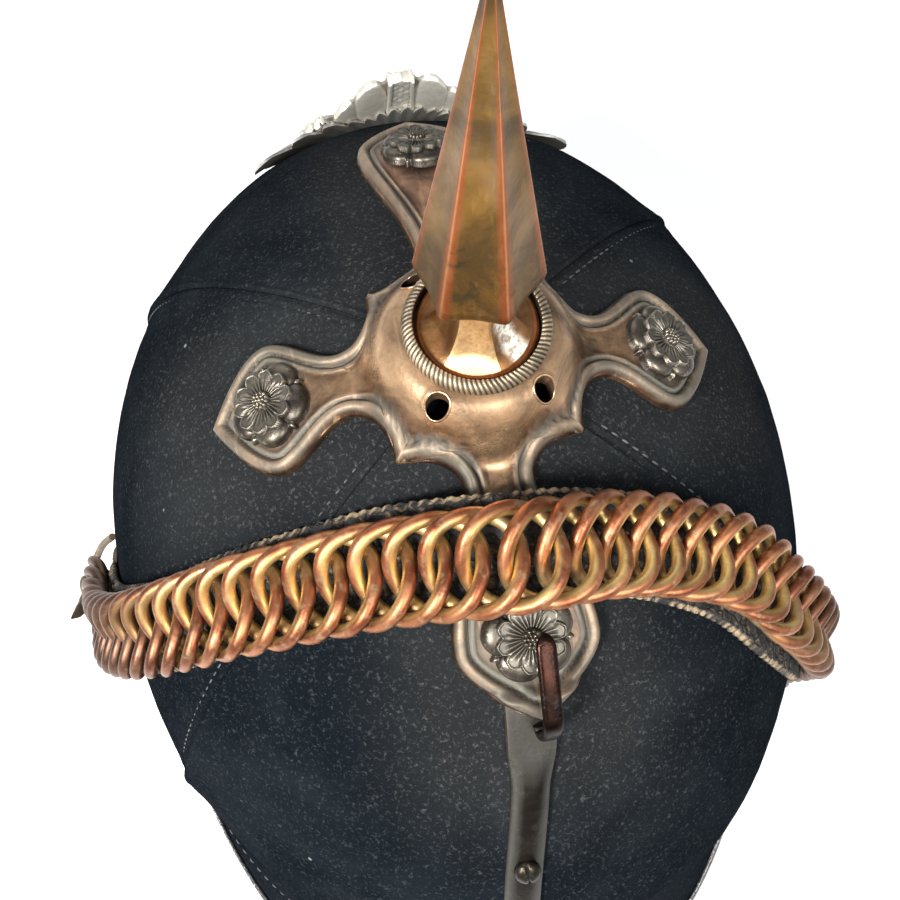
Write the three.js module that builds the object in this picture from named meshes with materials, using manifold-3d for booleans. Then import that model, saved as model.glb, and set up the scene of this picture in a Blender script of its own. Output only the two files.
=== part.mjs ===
// Cloth helmet: an officer's blue-cloth helmet with a spike, cross piece, chin chain and front plate.
// Millimetres, +Z up. The helmet stands on z = 0, its front faces -Y and the wearer's left is +X.
import * as THREE from 'three';
import { mergeVertices } from 'three/addons/utils/BufferGeometryUtils.js';
import Module from 'manifold-3d';

const wasm = await Module();
wasm.setup();

// ---------------------------------------------------------------- driving sizes

const GAP = 0.3;            // clearance between pieces that touch
const TURN = 2 * Math.PI;

const BODY = {
  headLine: 88,             // height of the widest level of the dome
  domeHeight: 89,           // dome height above the head line
  halfWidth: 91.25,
  front: 112.5,
  back: 118,
  power: 1.9,               // 2 is an ellipsoid, less is a more pointed dome
  wall: 3,
};

const RIM = {
  halfWidth: 99.5,
  reach: 158,               // front and back rim, measured from the spike's axis
  restHeight: 2.2,          // outer edge of the level part of the rim
  sideHeight: 28,           // outer edge of the rim at its sides
  flatShare: 0.2,           // share of the half width over which the rim stays level
  riseShare: 0.75,
  sideSlope: 15,            // degrees from vertical
  peakSlope: 45,
  sweep: 1.1,
};

const SEAM_ANGLE = 32;      // plan angle of the four seams, from the side
const PANEL_TOP = 0.015;    // share of the dome's arc left open under the collar
const PANEL_FOOT = 52;      // height at which the panels end and the peaks begin
const BAND = { width: 19, thickness: 1, aboveFoot: 0.8 };   // aboveFoot is a share of the width
// below: how far the binding reaches past the rim; sideGap: plan angle left open where two bindings meet
const BINDING = {
  metalWidth: 4.8, leatherWidth: 3.2, thickness: 0.9, below: 1.2, rimGap: 0.6, sideGap: 0.004,
};
const CROWN = BODY.headLine + BODY.domeHeight;
const TOP_AXIS_X = -1.5;    // the spike and cross piece sit a little off centre

const CROSS = {
  side: 51.5, front: 74.5, back: 65,      // arm lengths in plan
  leafAt: 13.5,                           // from the tip to the widest place of the leaf
  leafHalf: 13.6, neckAt: 24.5, neckHalf: 6.6, cusp: 17.5,
  thickness: 1.7, border: 1, borderWidth: 2.6,
  domeHeight: 9.6, domeTop: 12.2, domeFoot: 22.5,
  tailLift: 1.7, tailRise: 2,             // the back arm's tip lies over the spine's head
  tailStart: 6.3,
};

const ROSE = {
  radius: 8.2, height: 4.6, petals: 5, lobes: 0.07, seat: 1.15, side: 38.2, front: 58, back: 50.5,
};
const VENT = { radius: 2, reach: 14.3, angle: 54 };
const COLLAR = { outer: 13.2, wire: 1.7, height: 12.9 };

const SPIKE = {
  turn: 16.4, lean: 2.3, facets: 6,
  footHeight: 12.1, footRadius: 10.9, neckHeight: 25.5, neckRadius: 5.1,
  bulbHeight: 31.4, bulbRadius: 10.5, tipHeight: 83.4, tipRadius: 0.5,
  footEdge: 0.85, flareBend: 2.2, bulbUnder: 2.6, bulbTuck: 0.72,
};

const SPINE = { headHalf: 4.8, half: 3.6, start: 61.5, thickness: 1, crown: 1.4, endLevel: 1.95,
  headEnd: 4, fullEnd: 12,                // distances past the back arm's tip over which the head narrows
  lean: 7, leanFrom: 60, leanTo: 108 };   // it runs down a little to the wearer's left of the middle
const HOOK = { x: -3.6, half: 1.8, thickness: 1.6, root: 65.35, bend: 65.7, bendDepth: 1.8, lean: 0.5,
  end: 48.9, barEnd: 6, standOff: 9 };

const CHAIN = { ringRadius: 8.25, wire: 1.25, pitch: 6.6, twist: 1.05, looseTwist: 3.4, ringSteps: 12,
  wireSides: 5, segments: 8, height: 4.2, evenness: 0.06 };
const STRAP = { half: 10.8, thickness: 1.4, clearance: 0.35, archHeight: 6.8, archReach: 30,
  archRound: 0.2, looseEnd: 0.5 };
const BOSS = { y: 8, sideAngle: 2, radius: 9.5, thickness: 1.6, pinRadius: 1.6, pinHeight: 9.2,
  stubHeight: 3, firstLink: 4.95, knobRadius: 3.2, knobHeight: 2.6, hookWire: 1.1 };
// distances from the boss's centre: towards the back, up, and off the cloth
const BOSS_LEAF = [
  { back: 0, up: 0, off: 10.8, width: 2 },
  { back: 3, up: 1, off: 10.9, width: 2.2 },
  { back: 6, up: 3, off: 11.2, width: 2 },
  { back: 9.5, up: 7.5, off: 12.4, width: 0.5 },
];
const BOSS_LOOP = [
  { back: 0, up: 0, off: 10.6 },
  { back: -5, up: -3, off: 10.2 },
  { back: -9, up: -2, off: 8 },
  { back: -10, up: 3, off: 4.6 },
  { back: -10, up: 7.5, off: 0.3 },
];
const STUD = { reach: 90, radius: 2.6, height: 2 };

const PLATE = {
  x: -4.5, centreHeight: 92, y: -115.2, tilt: 0.327, bend: 44, blend: 1.2, standOff: 1, thickness: 1.6,
  rays: 8, rayLengths: [37, 63, 56, 54, 46, 54, 56, 63], valley: 37,
  wreathRadius: 18, wreathHole: 0.72, layer: 1.6,
  crownHalf: 29.4, crownFoot: 110.6, crownSweep: 0.0233, crownBulge: 2.2,
};

// ---------------------------------------------------------------- small helpers

const degrees = (value) => (value * Math.PI) / 180;
const mix = (a, b, share) => a + (b - a) * share;
const clamp01 = (value) => Math.min(1, Math.max(0, value));

function smoothStep(from, to, value) {
  const share = clamp01((value - from) / (to - from));
  return share * share * (3 - 2 * share);
}

function mergedPositions(geometry) {
  const bare = geometry.clone();
  bare.deleteAttribute('normal');
  bare.deleteAttribute('uv');
  return mergeVertices(bare, 1e-4);
}

function toSolid(geometry) {
  const merged = mergedPositions(geometry);
  return new wasm.Manifold(new wasm.Mesh({
    numProp: 3,
    vertProperties: new Float32Array(merged.attributes.position.array),
    triVerts: new Uint32Array(merged.index.array),
  }));
}

function fromSolid(solid) {
  const mesh = solid.getMesh();
  const geometry = new THREE.BufferGeometry();
  geometry.setAttribute('position', new THREE.BufferAttribute(new Float32Array(mesh.vertProperties), 3));
  geometry.setIndex(Array.from(mesh.triVerts));
  return geometry;
}

// A closed solid between two grids of points; outer(u, v) faces away from inner(u, v).
function shell(columns, rows, outer, inner, closed = false) {
  const points = [];
  const faces = [];
  const width = closed ? columns : columns + 1;
  for (const side of [outer, inner]) {
    for (let row = 0; row <= rows; row += 1) {
      for (let column = 0; column < width; column += 1) {
        points.push(side(column / columns, row / rows));
      }
    }
  }
  const layer = width * (rows + 1);
  const at = (side, column, row) => side * layer + row * width + (column % width);
  const quad = (a, b, c, d) => faces.push(a, b, c, a, c, d);
  for (let row = 0; row < rows; row += 1) {
    for (let column = 0; column < columns; column += 1) {
      quad(at(0, column, row), at(0, column + 1, row), at(0, column + 1, row + 1), at(0, column, row + 1));
      quad(at(1, column, row), at(1, column, row + 1), at(1, column + 1, row + 1), at(1, column + 1, row));
    }
  }
  for (let column = 0; column < columns; column += 1) {
    quad(at(1, column, 0), at(1, column + 1, 0), at(0, column + 1, 0), at(0, column, 0));
    quad(at(0, column, rows), at(0, column + 1, rows), at(1, column + 1, rows), at(1, column, rows));
  }
  for (let row = 0; row < rows && !closed; row += 1) {
    quad(at(0, 0, row), at(0, 0, row + 1), at(1, 0, row + 1), at(1, 0, row));
    quad(at(1, columns, row), at(1, columns, row + 1), at(0, columns, row + 1), at(0, columns, row));
  }
  const geometry = new THREE.BufferGeometry();
  const flat = points.flatMap((point) => [point.x, point.y, point.z]);
  geometry.setAttribute('position', new THREE.Float32BufferAttribute(flat, 3));
  geometry.setIndex(faces);
  return outward(mergedPositions(geometry));
}

// Flips a closed geometry whose faces point inwards, and drops faces with no area.
function outward(geometry) {
  const position = geometry.attributes.position;
  const index = geometry.index.array;
  const kept = [];
  const a = new THREE.Vector3();
  const b = new THREE.Vector3();
  const c = new THREE.Vector3();
  let volume = 0;
  for (let face = 0; face < index.length; face += 3) {
    const [i, j, k] = [index[face], index[face + 1], index[face + 2]];
    if (i === j || j === k || k === i) continue;
    kept.push([i, j, k]);
    a.fromBufferAttribute(position, i);
    b.fromBufferAttribute(position, j);
    c.fromBufferAttribute(position, k);
    volume += a.dot(b.cross(c));
  }
  const ordered = kept.flatMap(([i, j, k]) => (volume < 0 ? [i, k, j] : [i, j, k]));
  geometry.setIndex(ordered);
  return geometry;
}

// A closed tube: the same profile of [across, out] pairs placed in every frame of a list.
function sweep(profile, frames, closed = false) {
  const points = frames.flatMap((frame) => profile.map(([across, out]) =>
    frame.point.clone().addScaledVector(frame.across, across).addScaledVector(frame.out, out)));
  const faces = [];
  const count = profile.length;
  const rows = closed ? frames.length : frames.length - 1;
  for (let row = 0; row < rows; row += 1) {
    const next = (row + 1) % frames.length;
    for (let step = 0; step < count; step += 1) {
      const other = (step + 1) % count;
      const [a, b] = [row * count + step, row * count + other];
      const [c, d] = [next * count + other, next * count + step];
      faces.push(a, b, c, a, c, d);
    }
  }
  if (!closed) {
    const outline = profile.map(([x, y]) => new THREE.Vector2(x, y));
    const last = (frames.length - 1) * count;
    for (const [i, j, k] of THREE.ShapeUtils.triangulateShape(outline, [])) {
      const [first, second] = THREE.ShapeUtils.isClockWise(outline) ? [j, k] : [k, j];
      faces.push(i, first, second, last + i, last + second, last + first);
    }
  }
  const geometry = new THREE.BufferGeometry();
  const flat = points.flatMap((point) => [point.x, point.y, point.z]);
  geometry.setAttribute('position', new THREE.Float32BufferAttribute(flat, 3));
  geometry.setIndex(faces);
  return outward(geometry);
}

function roundProfile(radius, sides) {
  return Array.from({ length: sides }, (_, step) => {
    const angle = (step / sides) * TURN;
    return [radius * Math.cos(angle), radius * Math.sin(angle)];
  });
}

// ---------------------------------------------------------------- the body's outer surface

const reachTowards = (angle) => (Math.sin(angle) > 0 ? BODY.back : BODY.front);

function domePoint(angle, share) {
  const tilt = (share * Math.PI) / 2;
  const across = Math.sin(tilt) ** (2 / BODY.power);
  const up = Math.max(Math.cos(tilt), 0) ** (2 / BODY.power);
  return new THREE.Vector3(
    BODY.halfWidth * across * Math.cos(angle),
    reachTowards(angle) * across * Math.sin(angle),
    BODY.headLine + BODY.domeHeight * up,
  );
}

// 0 on the level front and back of the rim, 1 at its sides
function sideShare(angle) {
  return smoothStep(RIM.flatShare, RIM.flatShare + RIM.riseShare, Math.abs(Math.cos(angle)));
}

function rimPoint(angle) {
  return new THREE.Vector3(
    RIM.halfWidth * Math.cos(angle),
    RIM.reach * Math.sin(angle),
    mix(RIM.restHeight, RIM.sideHeight, sideShare(angle)),
  );
}

// The skirt below the head line: a smooth curve from the dome's foot to the rim.
function skirtPoint(angle, share) {
  const from = domePoint(angle, 1);
  const to = rimPoint(angle);
  const drop = BODY.headLine - to.z;
  const slope = degrees(mix(RIM.peakSlope, RIM.sideSlope, sideShare(angle)));
  const end = new THREE.Vector3(Math.cos(angle) * Math.sin(slope), Math.sin(angle) * Math.sin(slope),
    -Math.cos(slope)).multiplyScalar(drop * RIM.sweep);
  const [s2, s3] = [share ** 2, share ** 3];
  return new THREE.Vector3(0, 0, -drop * (s3 - 2 * s2 + share))
    .addScaledVector(from, 2 * s3 - 3 * s2 + 1)
    .addScaledVector(to, 3 * s2 - 2 * s3)
    .addScaledVector(end, s3 - s2);
}

// level 0 is the crown, 1 the head line and 2 the rim
function bodyPoint(angle, level) {
  return level < 1 ? domePoint(angle, level) : skirtPoint(angle, level - 1);
}

function bodyNormal(angle, level) {
  const step = 1e-3;
  const low = Math.max(level, 0.004);
  const around = bodyPoint(angle + step, low).sub(bodyPoint(angle - step, low));
  const down = bodyPoint(angle, Math.min(low + step, 2)).sub(bodyPoint(angle, low - step));
  return down.cross(around).normalize();
}

function offsetPoint(angle, level, offset) {
  return bodyPoint(angle, level).addScaledVector(bodyNormal(angle, level), offset);
}

// The level at which the surface has a given height, found by halving.
function levelAtHeight(angle, height) {
  let [low, high] = [0, 2];
  for (let step = 0; step < 40; step += 1) {
    const middle = (low + high) / 2;
    if (bodyPoint(angle, middle).z > height) low = middle;
    else high = middle;
  }
  return (low + high) / 2;
}

// The point above (x, y) on the dome, moved along the dome's normal.
function overDome(x, y, offset) {
  const reach = y > 0 ? BODY.back : BODY.front;
  const angle = Math.atan2(y / reach, x / BODY.halfWidth);
  const across = Math.min(Math.hypot(x / BODY.halfWidth, y / reach), 1);
  const tilt = Math.asin(Math.min(across ** (BODY.power / 2), 1));
  return offsetPoint(angle, tilt / (Math.PI / 2), offset);
}

// ---------------------------------------------------------------- cloth-covered body

// The angle by which a panel's edge stays clear of its seam; it grows towards the crown.
function seamInset(angle, level) {
  const step = 1e-3;
  const speed = bodyPoint(angle + step, level).distanceTo(bodyPoint(angle, level)) / step;
  return Math.min(GAP / 2 / speed, degrees(SEAM_ANGLE));
}

function panel(fromAngle, toAngle, columns) {
  const rows = 12;
  const point = (offset) => (u, v) => {
    const angle = mix(fromAngle, toAngle, u);
    const level = mix(PANEL_TOP, levelAtHeight(angle, PANEL_FOOT + GAP / 2), v);
    return offsetPoint(angle + seamInset(angle, level) * (1 - 2 * u), level, offset);
  };
  return shell(columns, rows, point(0), point(-BODY.wall));
}

// How far the surface runs, down from a level, for each unit of level.
function surfaceSpeed(angle, level) {
  const step = 0.05;
  return bodyPoint(angle, level).distanceTo(bodyPoint(angle, level - step)) / step;
}

function peak(fromAngle, toAngle, bindingWidth, columns) {
  const rows = 4;
  const inset = seamInset(fromAngle, 2);
  const point = (offset) => (u, v) => {
    const angle = mix(fromAngle + inset, toAngle - inset, u);
    const from = levelAtHeight(angle, PANEL_FOOT - GAP / 2);
    const to = 2 - (bindingWidth - BINDING.below - BINDING.rimGap) / surfaceSpeed(angle, 2);
    return offsetPoint(angle, mix(from, to, v), offset);
  };
  return shell(columns, rows, point(0), point(-BODY.wall));
}

// A channel that grips the rim of a peak, trimmed level where the helmet stands on it.
function binding(fromAngle, toAngle, width, columns) {
  const outer = BINDING.thickness + GAP;
  const inner = BODY.wall + outer;
  const lip = width - BINDING.below;
  const foot = BINDING.below + BINDING.thickness;
  const rounded = foot * 0.7;
  const profile = [
    [-lip, GAP], [-lip, outer], [rounded, outer * 0.9], [foot, -BODY.wall / 2],
    [rounded, -inner + outer * 0.1], [-lip, -inner], [-lip, -BODY.wall - GAP],
    [0, -BODY.wall - GAP], [0, GAP],
  ];
  const frames = Array.from({ length: columns + 1 }, (_, column) => {
    const angle = mix(fromAngle + BINDING.sideGap, toAngle - BINDING.sideGap, column / columns);
    const across = bodyPoint(angle, 2).sub(bodyPoint(angle, 1.99)).normalize();
    const point = rimPoint(angle).addScaledVector(across, -BINDING.rimGap);
    return { point, across, out: bodyNormal(angle, 2) };
  });
  const depth = RIM.sideHeight;
  const ground = new THREE.BoxGeometry(4 * RIM.reach, 4 * RIM.reach, depth);
  ground.translate(0, 0, -depth / 2);
  return fromSolid(toSolid(sweep(profile, frames)).subtract(toSolid(ground)));
}

function clothBand() {
  const point = (offset) => (u, v) => {
    const angle = u * TURN;
    const level = levelAtHeight(angle, PANEL_FOOT);
    const drop = (v - BAND.aboveFoot) * BAND.width;
    return offsetPoint(angle, level + drop / surfaceSpeed(angle, level), offset);
  };
  const [columns, rows] = [72, 2];
  return shell(columns, rows, point(GAP + BAND.thickness), point(GAP), true);
}

// ---------------------------------------------------------------- cross piece, roses, collar, spike

function armHalfWidth(distance, length) {
  const leaf = length - CROSS.leafAt;
  if (distance < CROSS.neckAt) {
    const share = (distance - CROSS.cusp) / (CROSS.neckAt - CROSS.cusp);
    return mix(CROSS.cusp, CROSS.neckHalf, Math.sqrt(1 - (1 - clamp01(share)) ** 2));
  }
  if (distance < leaf) {
    return mix(CROSS.neckHalf, CROSS.leafHalf, smoothStep(CROSS.neckAt, leaf, distance));
  }
  const share = (distance - leaf) / CROSS.leafAt;
  const shoulder = Math.cos((share * Math.PI) / 2) ** 0.8;
  return CROSS.leafHalf * mix(shoulder, 1 - share, 0.45) + 0.01;
}

// The height of the central dome and of the raised border above the flat of the cross piece.
function crossRise(x, y, edgeDistance) {
  const radius = Math.hypot(x, y);
  const dome = CROSS.domeHeight * (1 - smoothStep(CROSS.domeTop, CROSS.domeFoot, radius));
  const border = CROSS.border * (1 - smoothStep(CROSS.borderWidth * 0.6, CROSS.borderWidth, edgeDistance));
  return dome + border;
}

function tailRise(y) {
  const start = CROSS.back - CROSS.tailStart;
  return CROSS.tailLift * smoothStep(start, start + CROSS.tailRise, y);
}

// Rows of plan points over one arm, from the middle of the cross piece to the arm's tip.
function armRows(turn, length) {
  const [cos, sin] = [Math.cos(turn), Math.sin(turn)];
  const steps = 11;
  const distances = [0, 0.3, 0.6, 0.8, 1].map((share) => share * CROSS.cusp);
  for (let step = 1; step <= steps; step += 1) distances.push(mix(CROSS.cusp, length, step / steps));
  return distances.map((distance) => {
    const inMiddle = distance <= CROSS.cusp;
    const half = inMiddle ? distance : armHalfWidth(distance, length);
    return [-1, -0.8, -0.4, 0, 0.4, 0.8, 1].map((share) => {
      const across = share * half;
      const edge = inMiddle ? Infinity : Math.min(half - Math.abs(across), (length - distance) * 0.7);
      return { x: distance * cos - across * sin, y: distance * sin + across * cos, edge };
    });
  });
}

function crossTop({ x, y, edge }) {
  return overDome(x + TOP_AXIS_X, y, GAP + tailRise(y) + CROSS.thickness + crossRise(x, y, edge));
}

function crossBottom({ x, y }) {
  const hollow = Math.max(crossRise(x, y, Infinity) - CROSS.thickness * 0.4, 0);
  return overDome(x + TOP_AXIS_X, y, GAP + tailRise(y) + hollow);
}

// One closed solid from patches of plan points that share their edges.
function solidFromPatches(patches, top, bottom) {
  const indexOf = new Map();
  const plan = [];
  const find = (point) => {
    const key = `${Math.round(point.x * 1e3)},${Math.round(point.y * 1e3)}`;
    if (!indexOf.has(key)) {
      indexOf.set(key, plan.length);
      plan.push(point);
    }
    return indexOf.get(key);
  };
  const faces = [];
  for (const rows of patches) {
    for (let row = 1; row < rows.length; row += 1) {
      for (let column = 1; column < rows[row].length; column += 1) {
        const [a, b] = [find(rows[row - 1][column - 1]), find(rows[row - 1][column])];
        const [c, d] = [find(rows[row][column]), find(rows[row][column - 1])];
        for (const face of [[a, b, c], [a, c, d]]) {
          if (new Set(face).size === 3) faces.push(face);
        }
      }
    }
  }
  const edges = new Map();
  for (const [a, b, c] of faces) {
    for (const [from, to] of [[a, b], [b, c], [c, a]]) edges.set(`${from},${to}`, [from, to]);
  }
  const count = plan.length;
  const all = faces.flatMap(([a, b, c]) => [a, b, c, a + count, c + count, b + count]);
  for (const [from, to] of edges.values()) {
    if (edges.has(`${to},${from}`)) continue;
    all.push(to, from, from + count, to, from + count, to + count);
  }
  const points = [...plan.map(top), ...plan.map(bottom)];
  const geometry = new THREE.BufferGeometry();
  const flat = points.flatMap((point) => [point.x, point.y, point.z]);
  geometry.setAttribute('position', new THREE.Float32BufferAttribute(flat, 3));
  geometry.setIndex(all);
  return outward(geometry);
}

function ventHole(angle) {
  const [depth, sides] = [30, 12];
  const hole = new THREE.CylinderGeometry(VENT.radius, VENT.radius, depth, sides);
  hole.rotateX(Math.PI / 2);
  hole.translate(VENT.reach * Math.cos(angle) + TOP_AXIS_X, VENT.reach * Math.sin(angle), CROWN);
  return toSolid(hole);
}

function crossPiece() {
  const arms = [[0, CROSS.side], [90, CROSS.back], [180, CROSS.side], [270, CROSS.front]];
  const patches = arms.map(([turn, length]) => armRows(degrees(turn), length));
  let solid = toSolid(solidFromPatches(patches, crossTop, crossBottom));
  for (const first of [VENT.angle, 180 - VENT.angle]) {
    for (const turn of [0, 180]) solid = solid.subtract(ventHole(degrees(first + turn)));
  }
  return fromSolid(solid);
}

// A five-lobed boss that stands on an arm of the cross piece.
function rose(x, y) {
  const seat = ROSE.seat + CROSS.thickness;
  const centre = overDome(x + TOP_AXIS_X, y, seat);
  const up = overDome(x + TOP_AXIS_X, y, seat + 1).sub(centre);
  const right = new THREE.Vector3(0, 1, 0).cross(up).normalize();
  const ahead = up.clone().cross(right);
  const place = (radius, angle, height) => {
    const reach = radius * (1 + ROSE.lobes * Math.cos(ROSE.petals * angle));
    const [px, py] = [reach * Math.cos(angle), reach * Math.sin(angle)];
    const footX = x + TOP_AXIS_X + px * right.x + py * ahead.x;
    const footY = y + px * right.y + py * ahead.y;
    return overDome(footX, footY, seat).addScaledVector(up, height);
  };
  const outer = (u, v) => place(ROSE.radius * v, u * TURN, ROSE.height * Math.sqrt(1 - 0.92 * v ** 2));
  const inner = (u, v) => place(ROSE.radius * v, u * TURN, 0);
  const [columns, rows] = [20, 3];
  return shell(columns, rows, outer, inner, true);
}

// A turned solid about the Z axis, from [radius, height] pairs.
function turned(profile, sides) {
  const lathe = new THREE.LatheGeometry(profile.map(([radius, height]) =>
    new THREE.Vector2(radius, height)), sides);
  lathe.rotateX(Math.PI / 2);
  return outward(mergedPositions(lathe));
}

function collar() {
  const [steps, sides] = [7, 40];
  const middle = COLLAR.outer - COLLAR.wire;
  const profile = Array.from({ length: steps + 1 }, (_, step) => {
    const angle = -(step / steps) * TURN;
    return [middle + COLLAR.wire * Math.cos(angle), CROWN + COLLAR.height + COLLAR.wire * Math.sin(angle)];
  });
  const geometry = turned(profile, sides);
  geometry.translate(TOP_AXIS_X, 0, 0);
  return geometry;
}

// Six flat sides: a trumpet foot, a neck, a bulb with a tucked-in underside and a long point.
function spike() {
  const { footHeight, footRadius, neckHeight, neckRadius, bulbHeight, bulbRadius } = SPIKE;
  const base = footRadius * SPIKE.footEdge;
  const profile = [[0, footHeight], [base, footHeight]];
  for (const share of [0, 0.2, 0.45, 0.75, 1]) {
    const radius = mix(base, neckRadius, 1 - (1 - share) ** SPIKE.flareBend);
    profile.push([radius, mix(footHeight + 1, neckHeight, share)]);
  }
  profile.push([bulbRadius * SPIKE.bulbTuck, bulbHeight - SPIKE.bulbUnder], [bulbRadius, bulbHeight],
    [SPIKE.tipRadius, SPIKE.tipHeight - SPIKE.tipRadius], [0, SPIKE.tipHeight]);
  const geometry = turned(profile, SPIKE.facets);
  geometry.rotateZ(degrees(-SPIKE.turn));
  geometry.translate(0, 0, -footHeight);
  geometry.rotateY(degrees(SPIKE.lean));
  geometry.translate(TOP_AXIS_X, 0, CROWN + footHeight);
  return geometry;
}

// ---------------------------------------------------------------- spine and hook

const BACK_ANGLE = Math.PI / 2;

// The plan angle, at a level, a distance to one side of the spine's middle line.
function spineAngle(level, aside = 0) {
  const lean = SPINE.lean * smoothStep(SPINE.leanFrom, SPINE.leanTo, bodyPoint(BACK_ANGLE, level).y);
  return Math.acos((lean + aside) / bodyPoint(0, level).x);
}

// The level on the back of the dome at a distance behind the spike's axis.
function levelBehind(reach) {
  return Math.asin((reach / BODY.back) ** (BODY.power / 2)) / (Math.PI / 2);
}

function spine() {
  const rows = 18;
  const startLevel = levelBehind(SPINE.start);
  const place = (u, v, thickness, crown) => {
    const level = mix(startLevel, SPINE.endLevel, v);
    const { y, z } = bodyPoint(spineAngle(level), level);
    const full = smoothStep(CROSS.back + SPINE.headEnd, CROSS.back + SPINE.fullEnd, y);
    const across = 2 * u - 1;
    const rise = GAP + thickness + crown * full * (1 - across ** 2) + bandLift(z);
    const angle = spineAngle(level, across * mix(SPINE.headHalf, SPINE.half, full));
    return offsetPoint(angle, level, rise);
  };
  const outer = (u, v) => place(u, v, SPINE.thickness, SPINE.crown);
  const inner = (u, v) => place(u, v, 0, 0);
  return shell(4, rows, outer, inner);
}

// What lies low on the body passes over the cloth band.
function bandLift(height) {
  const top = PANEL_FOOT + BAND.width;
  return (BAND.thickness + GAP) * smoothStep(top + 7, top, height);
}

function spineStud() {
  const level = levelBehind(STUD.reach);
  const angle = spineAngle(level);
  const out = bodyNormal(angle, level);
  const seat = 2 * GAP + SPINE.thickness + SPINE.crown;
  const { radius, height } = STUD;
  const profile = [[0, 0], [radius, 0], [radius, height * 0.3], [radius * 0.7, height * 0.8], [0, height]];
  return stand(turned(profile, 12), bodyPoint(angle, level).addScaledVector(out, seat), out);
}

// Turns a geometry's +Z to face out and moves its origin to a point.
function stand(geometry, point, out) {
  const turn = new THREE.Quaternion().setFromUnitVectors(new THREE.Vector3(0, 0, 1), out);
  geometry.applyQuaternion(turn);
  geometry.translate(point.x, point.y, point.z);
  return geometry;
}

// The strap hook: a strip that runs down from the back arm's tip, turns out and comes back up.
function strapHook() {
  const [half, thick] = [HOOK.half, HOOK.thickness / 2];
  const low = 3 * GAP + SPINE.thickness + thick;
  const high = HOOK.standOff + thick;
  const [middle, radius] = [(low + high) / 2, (high - low) / 2];
  const stations = [[HOOK.root, low]];
  const steps = 8;
  for (let step = 0; step <= steps; step += 1) {
    const angle = (step / steps) * Math.PI;
    const offset = middle - radius * Math.cos(angle);
    stations.push([HOOK.bend + HOOK.bendDepth * Math.sin(angle) - HOOK.lean * (offset - low), offset]);
  }
  stations.push([HOOK.end + HOOK.barEnd, high], [HOOK.end, HOOK.standOff]);
  const points = stations.map(([y, offset]) => overDome(HOOK.x, y, offset));
  const profile = [[-half, -thick * 0.4], [-half * 0.6, -thick], [half * 0.6, -thick], [half, -thick * 0.4],
    [half, thick * 0.4], [half * 0.6, thick], [-half * 0.6, thick], [-half, thick * 0.4]];
  return sweep(profile, alongPoints(points, new THREE.Vector3(1, 0, 0)));
}

// Frames along a list of points; across is kept near a given direction.
function alongPoints(points, across) {
  return points.map((point, index) => {
    const before = points[Math.max(index - 1, 0)];
    const after = points[Math.min(index + 1, points.length - 1)];
    const ahead = after.clone().sub(before).normalize();
    const out = ahead.clone().cross(across).normalize();
    return { point, across: out.clone().cross(ahead).normalize(), out };
  });
}

// ---------------------------------------------------------------- chin chain and its strap

// Where the chain crosses the dome, from the wearer's left over the top to its loose end on the right.
const CHAIN_ROUTE = [
  { sideAngle: BOSS.sideAngle, y: BOSS.y },
  { sideAngle: 16, y: 23.6 },
  { sideAngle: 35, y: 31.6 },
  { sideAngle: 60, y: 34.5 },
  { sideAngle: 90, y: 36.8 },
  { sideAngle: 104, y: 38 },
  { sideAngle: 120, y: 42.7 },
  { sideAngle: 135, y: 51.5 },
  { sideAngle: 150, y: 57.2 },
  { sideAngle: 165, y: 58.2 },
  { sideAngle: 192, y: 57.5 },
];

const routeCurve = new THREE.CatmullRomCurve3(CHAIN_ROUTE.map(({ sideAngle, y }) =>
  new THREE.Vector3(sideAngle, y, 0)), false, 'centripetal');

// The dome point at a side angle and a distance behind the spike's axis.
function domeAtSideAngle(sideAngle, y) {
  const turn = degrees(sideAngle);
  const [x, z] = [BODY.halfWidth * Math.cos(turn), BODY.domeHeight * Math.max(Math.sin(turn), 0)];
  let [low, high] = [0, 1.2];
  for (let step = 0; step < 40; step += 1) {
    const scale = (low + high) / 2;
    const across = Math.hypot((x * scale) / BODY.halfWidth, y / BODY.back);
    const inside = across ** BODY.power + ((z * scale) / BODY.domeHeight) ** BODY.power < 1;
    if (inside) low = scale;
    else high = scale;
  }
  const below = Math.min(BODY.domeHeight * Math.sin(turn), 0);
  const point = new THREE.Vector3(x * low, y, BODY.headLine + z * low + below);
  if (below === 0) return point;
  const angle = Math.atan2(y / BODY.back, point.x / BODY.halfWidth);
  return bodyPoint(angle, levelAtHeight(angle, point.z));
}

function domeNormalAt(point) {
  const reach = point.y > 0 ? BODY.back : BODY.front;
  const height = Math.max(point.z - BODY.headLine, 0);
  const across = Math.hypot(point.x / BODY.halfWidth, point.y / reach) ** (BODY.power - 2);
  return new THREE.Vector3(
    (across * point.x) / BODY.halfWidth ** 2,
    (across * point.y) / reach ** 2,
    height ** (BODY.power - 1) / BODY.domeHeight ** BODY.power,
  ).normalize();
}

// The chain is drawn over the back arm and its rose, and comes down to the cloth in a straight line.
function archOver(point) {
  const away = Math.abs(point.x - TOP_AXIS_X) / STRAP.archReach;
  const rounded = Math.hypot(away, STRAP.archRound) - STRAP.archRound;
  return STRAP.archHeight * Math.max(1 - rounded, 0) ** 2;
}

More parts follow.
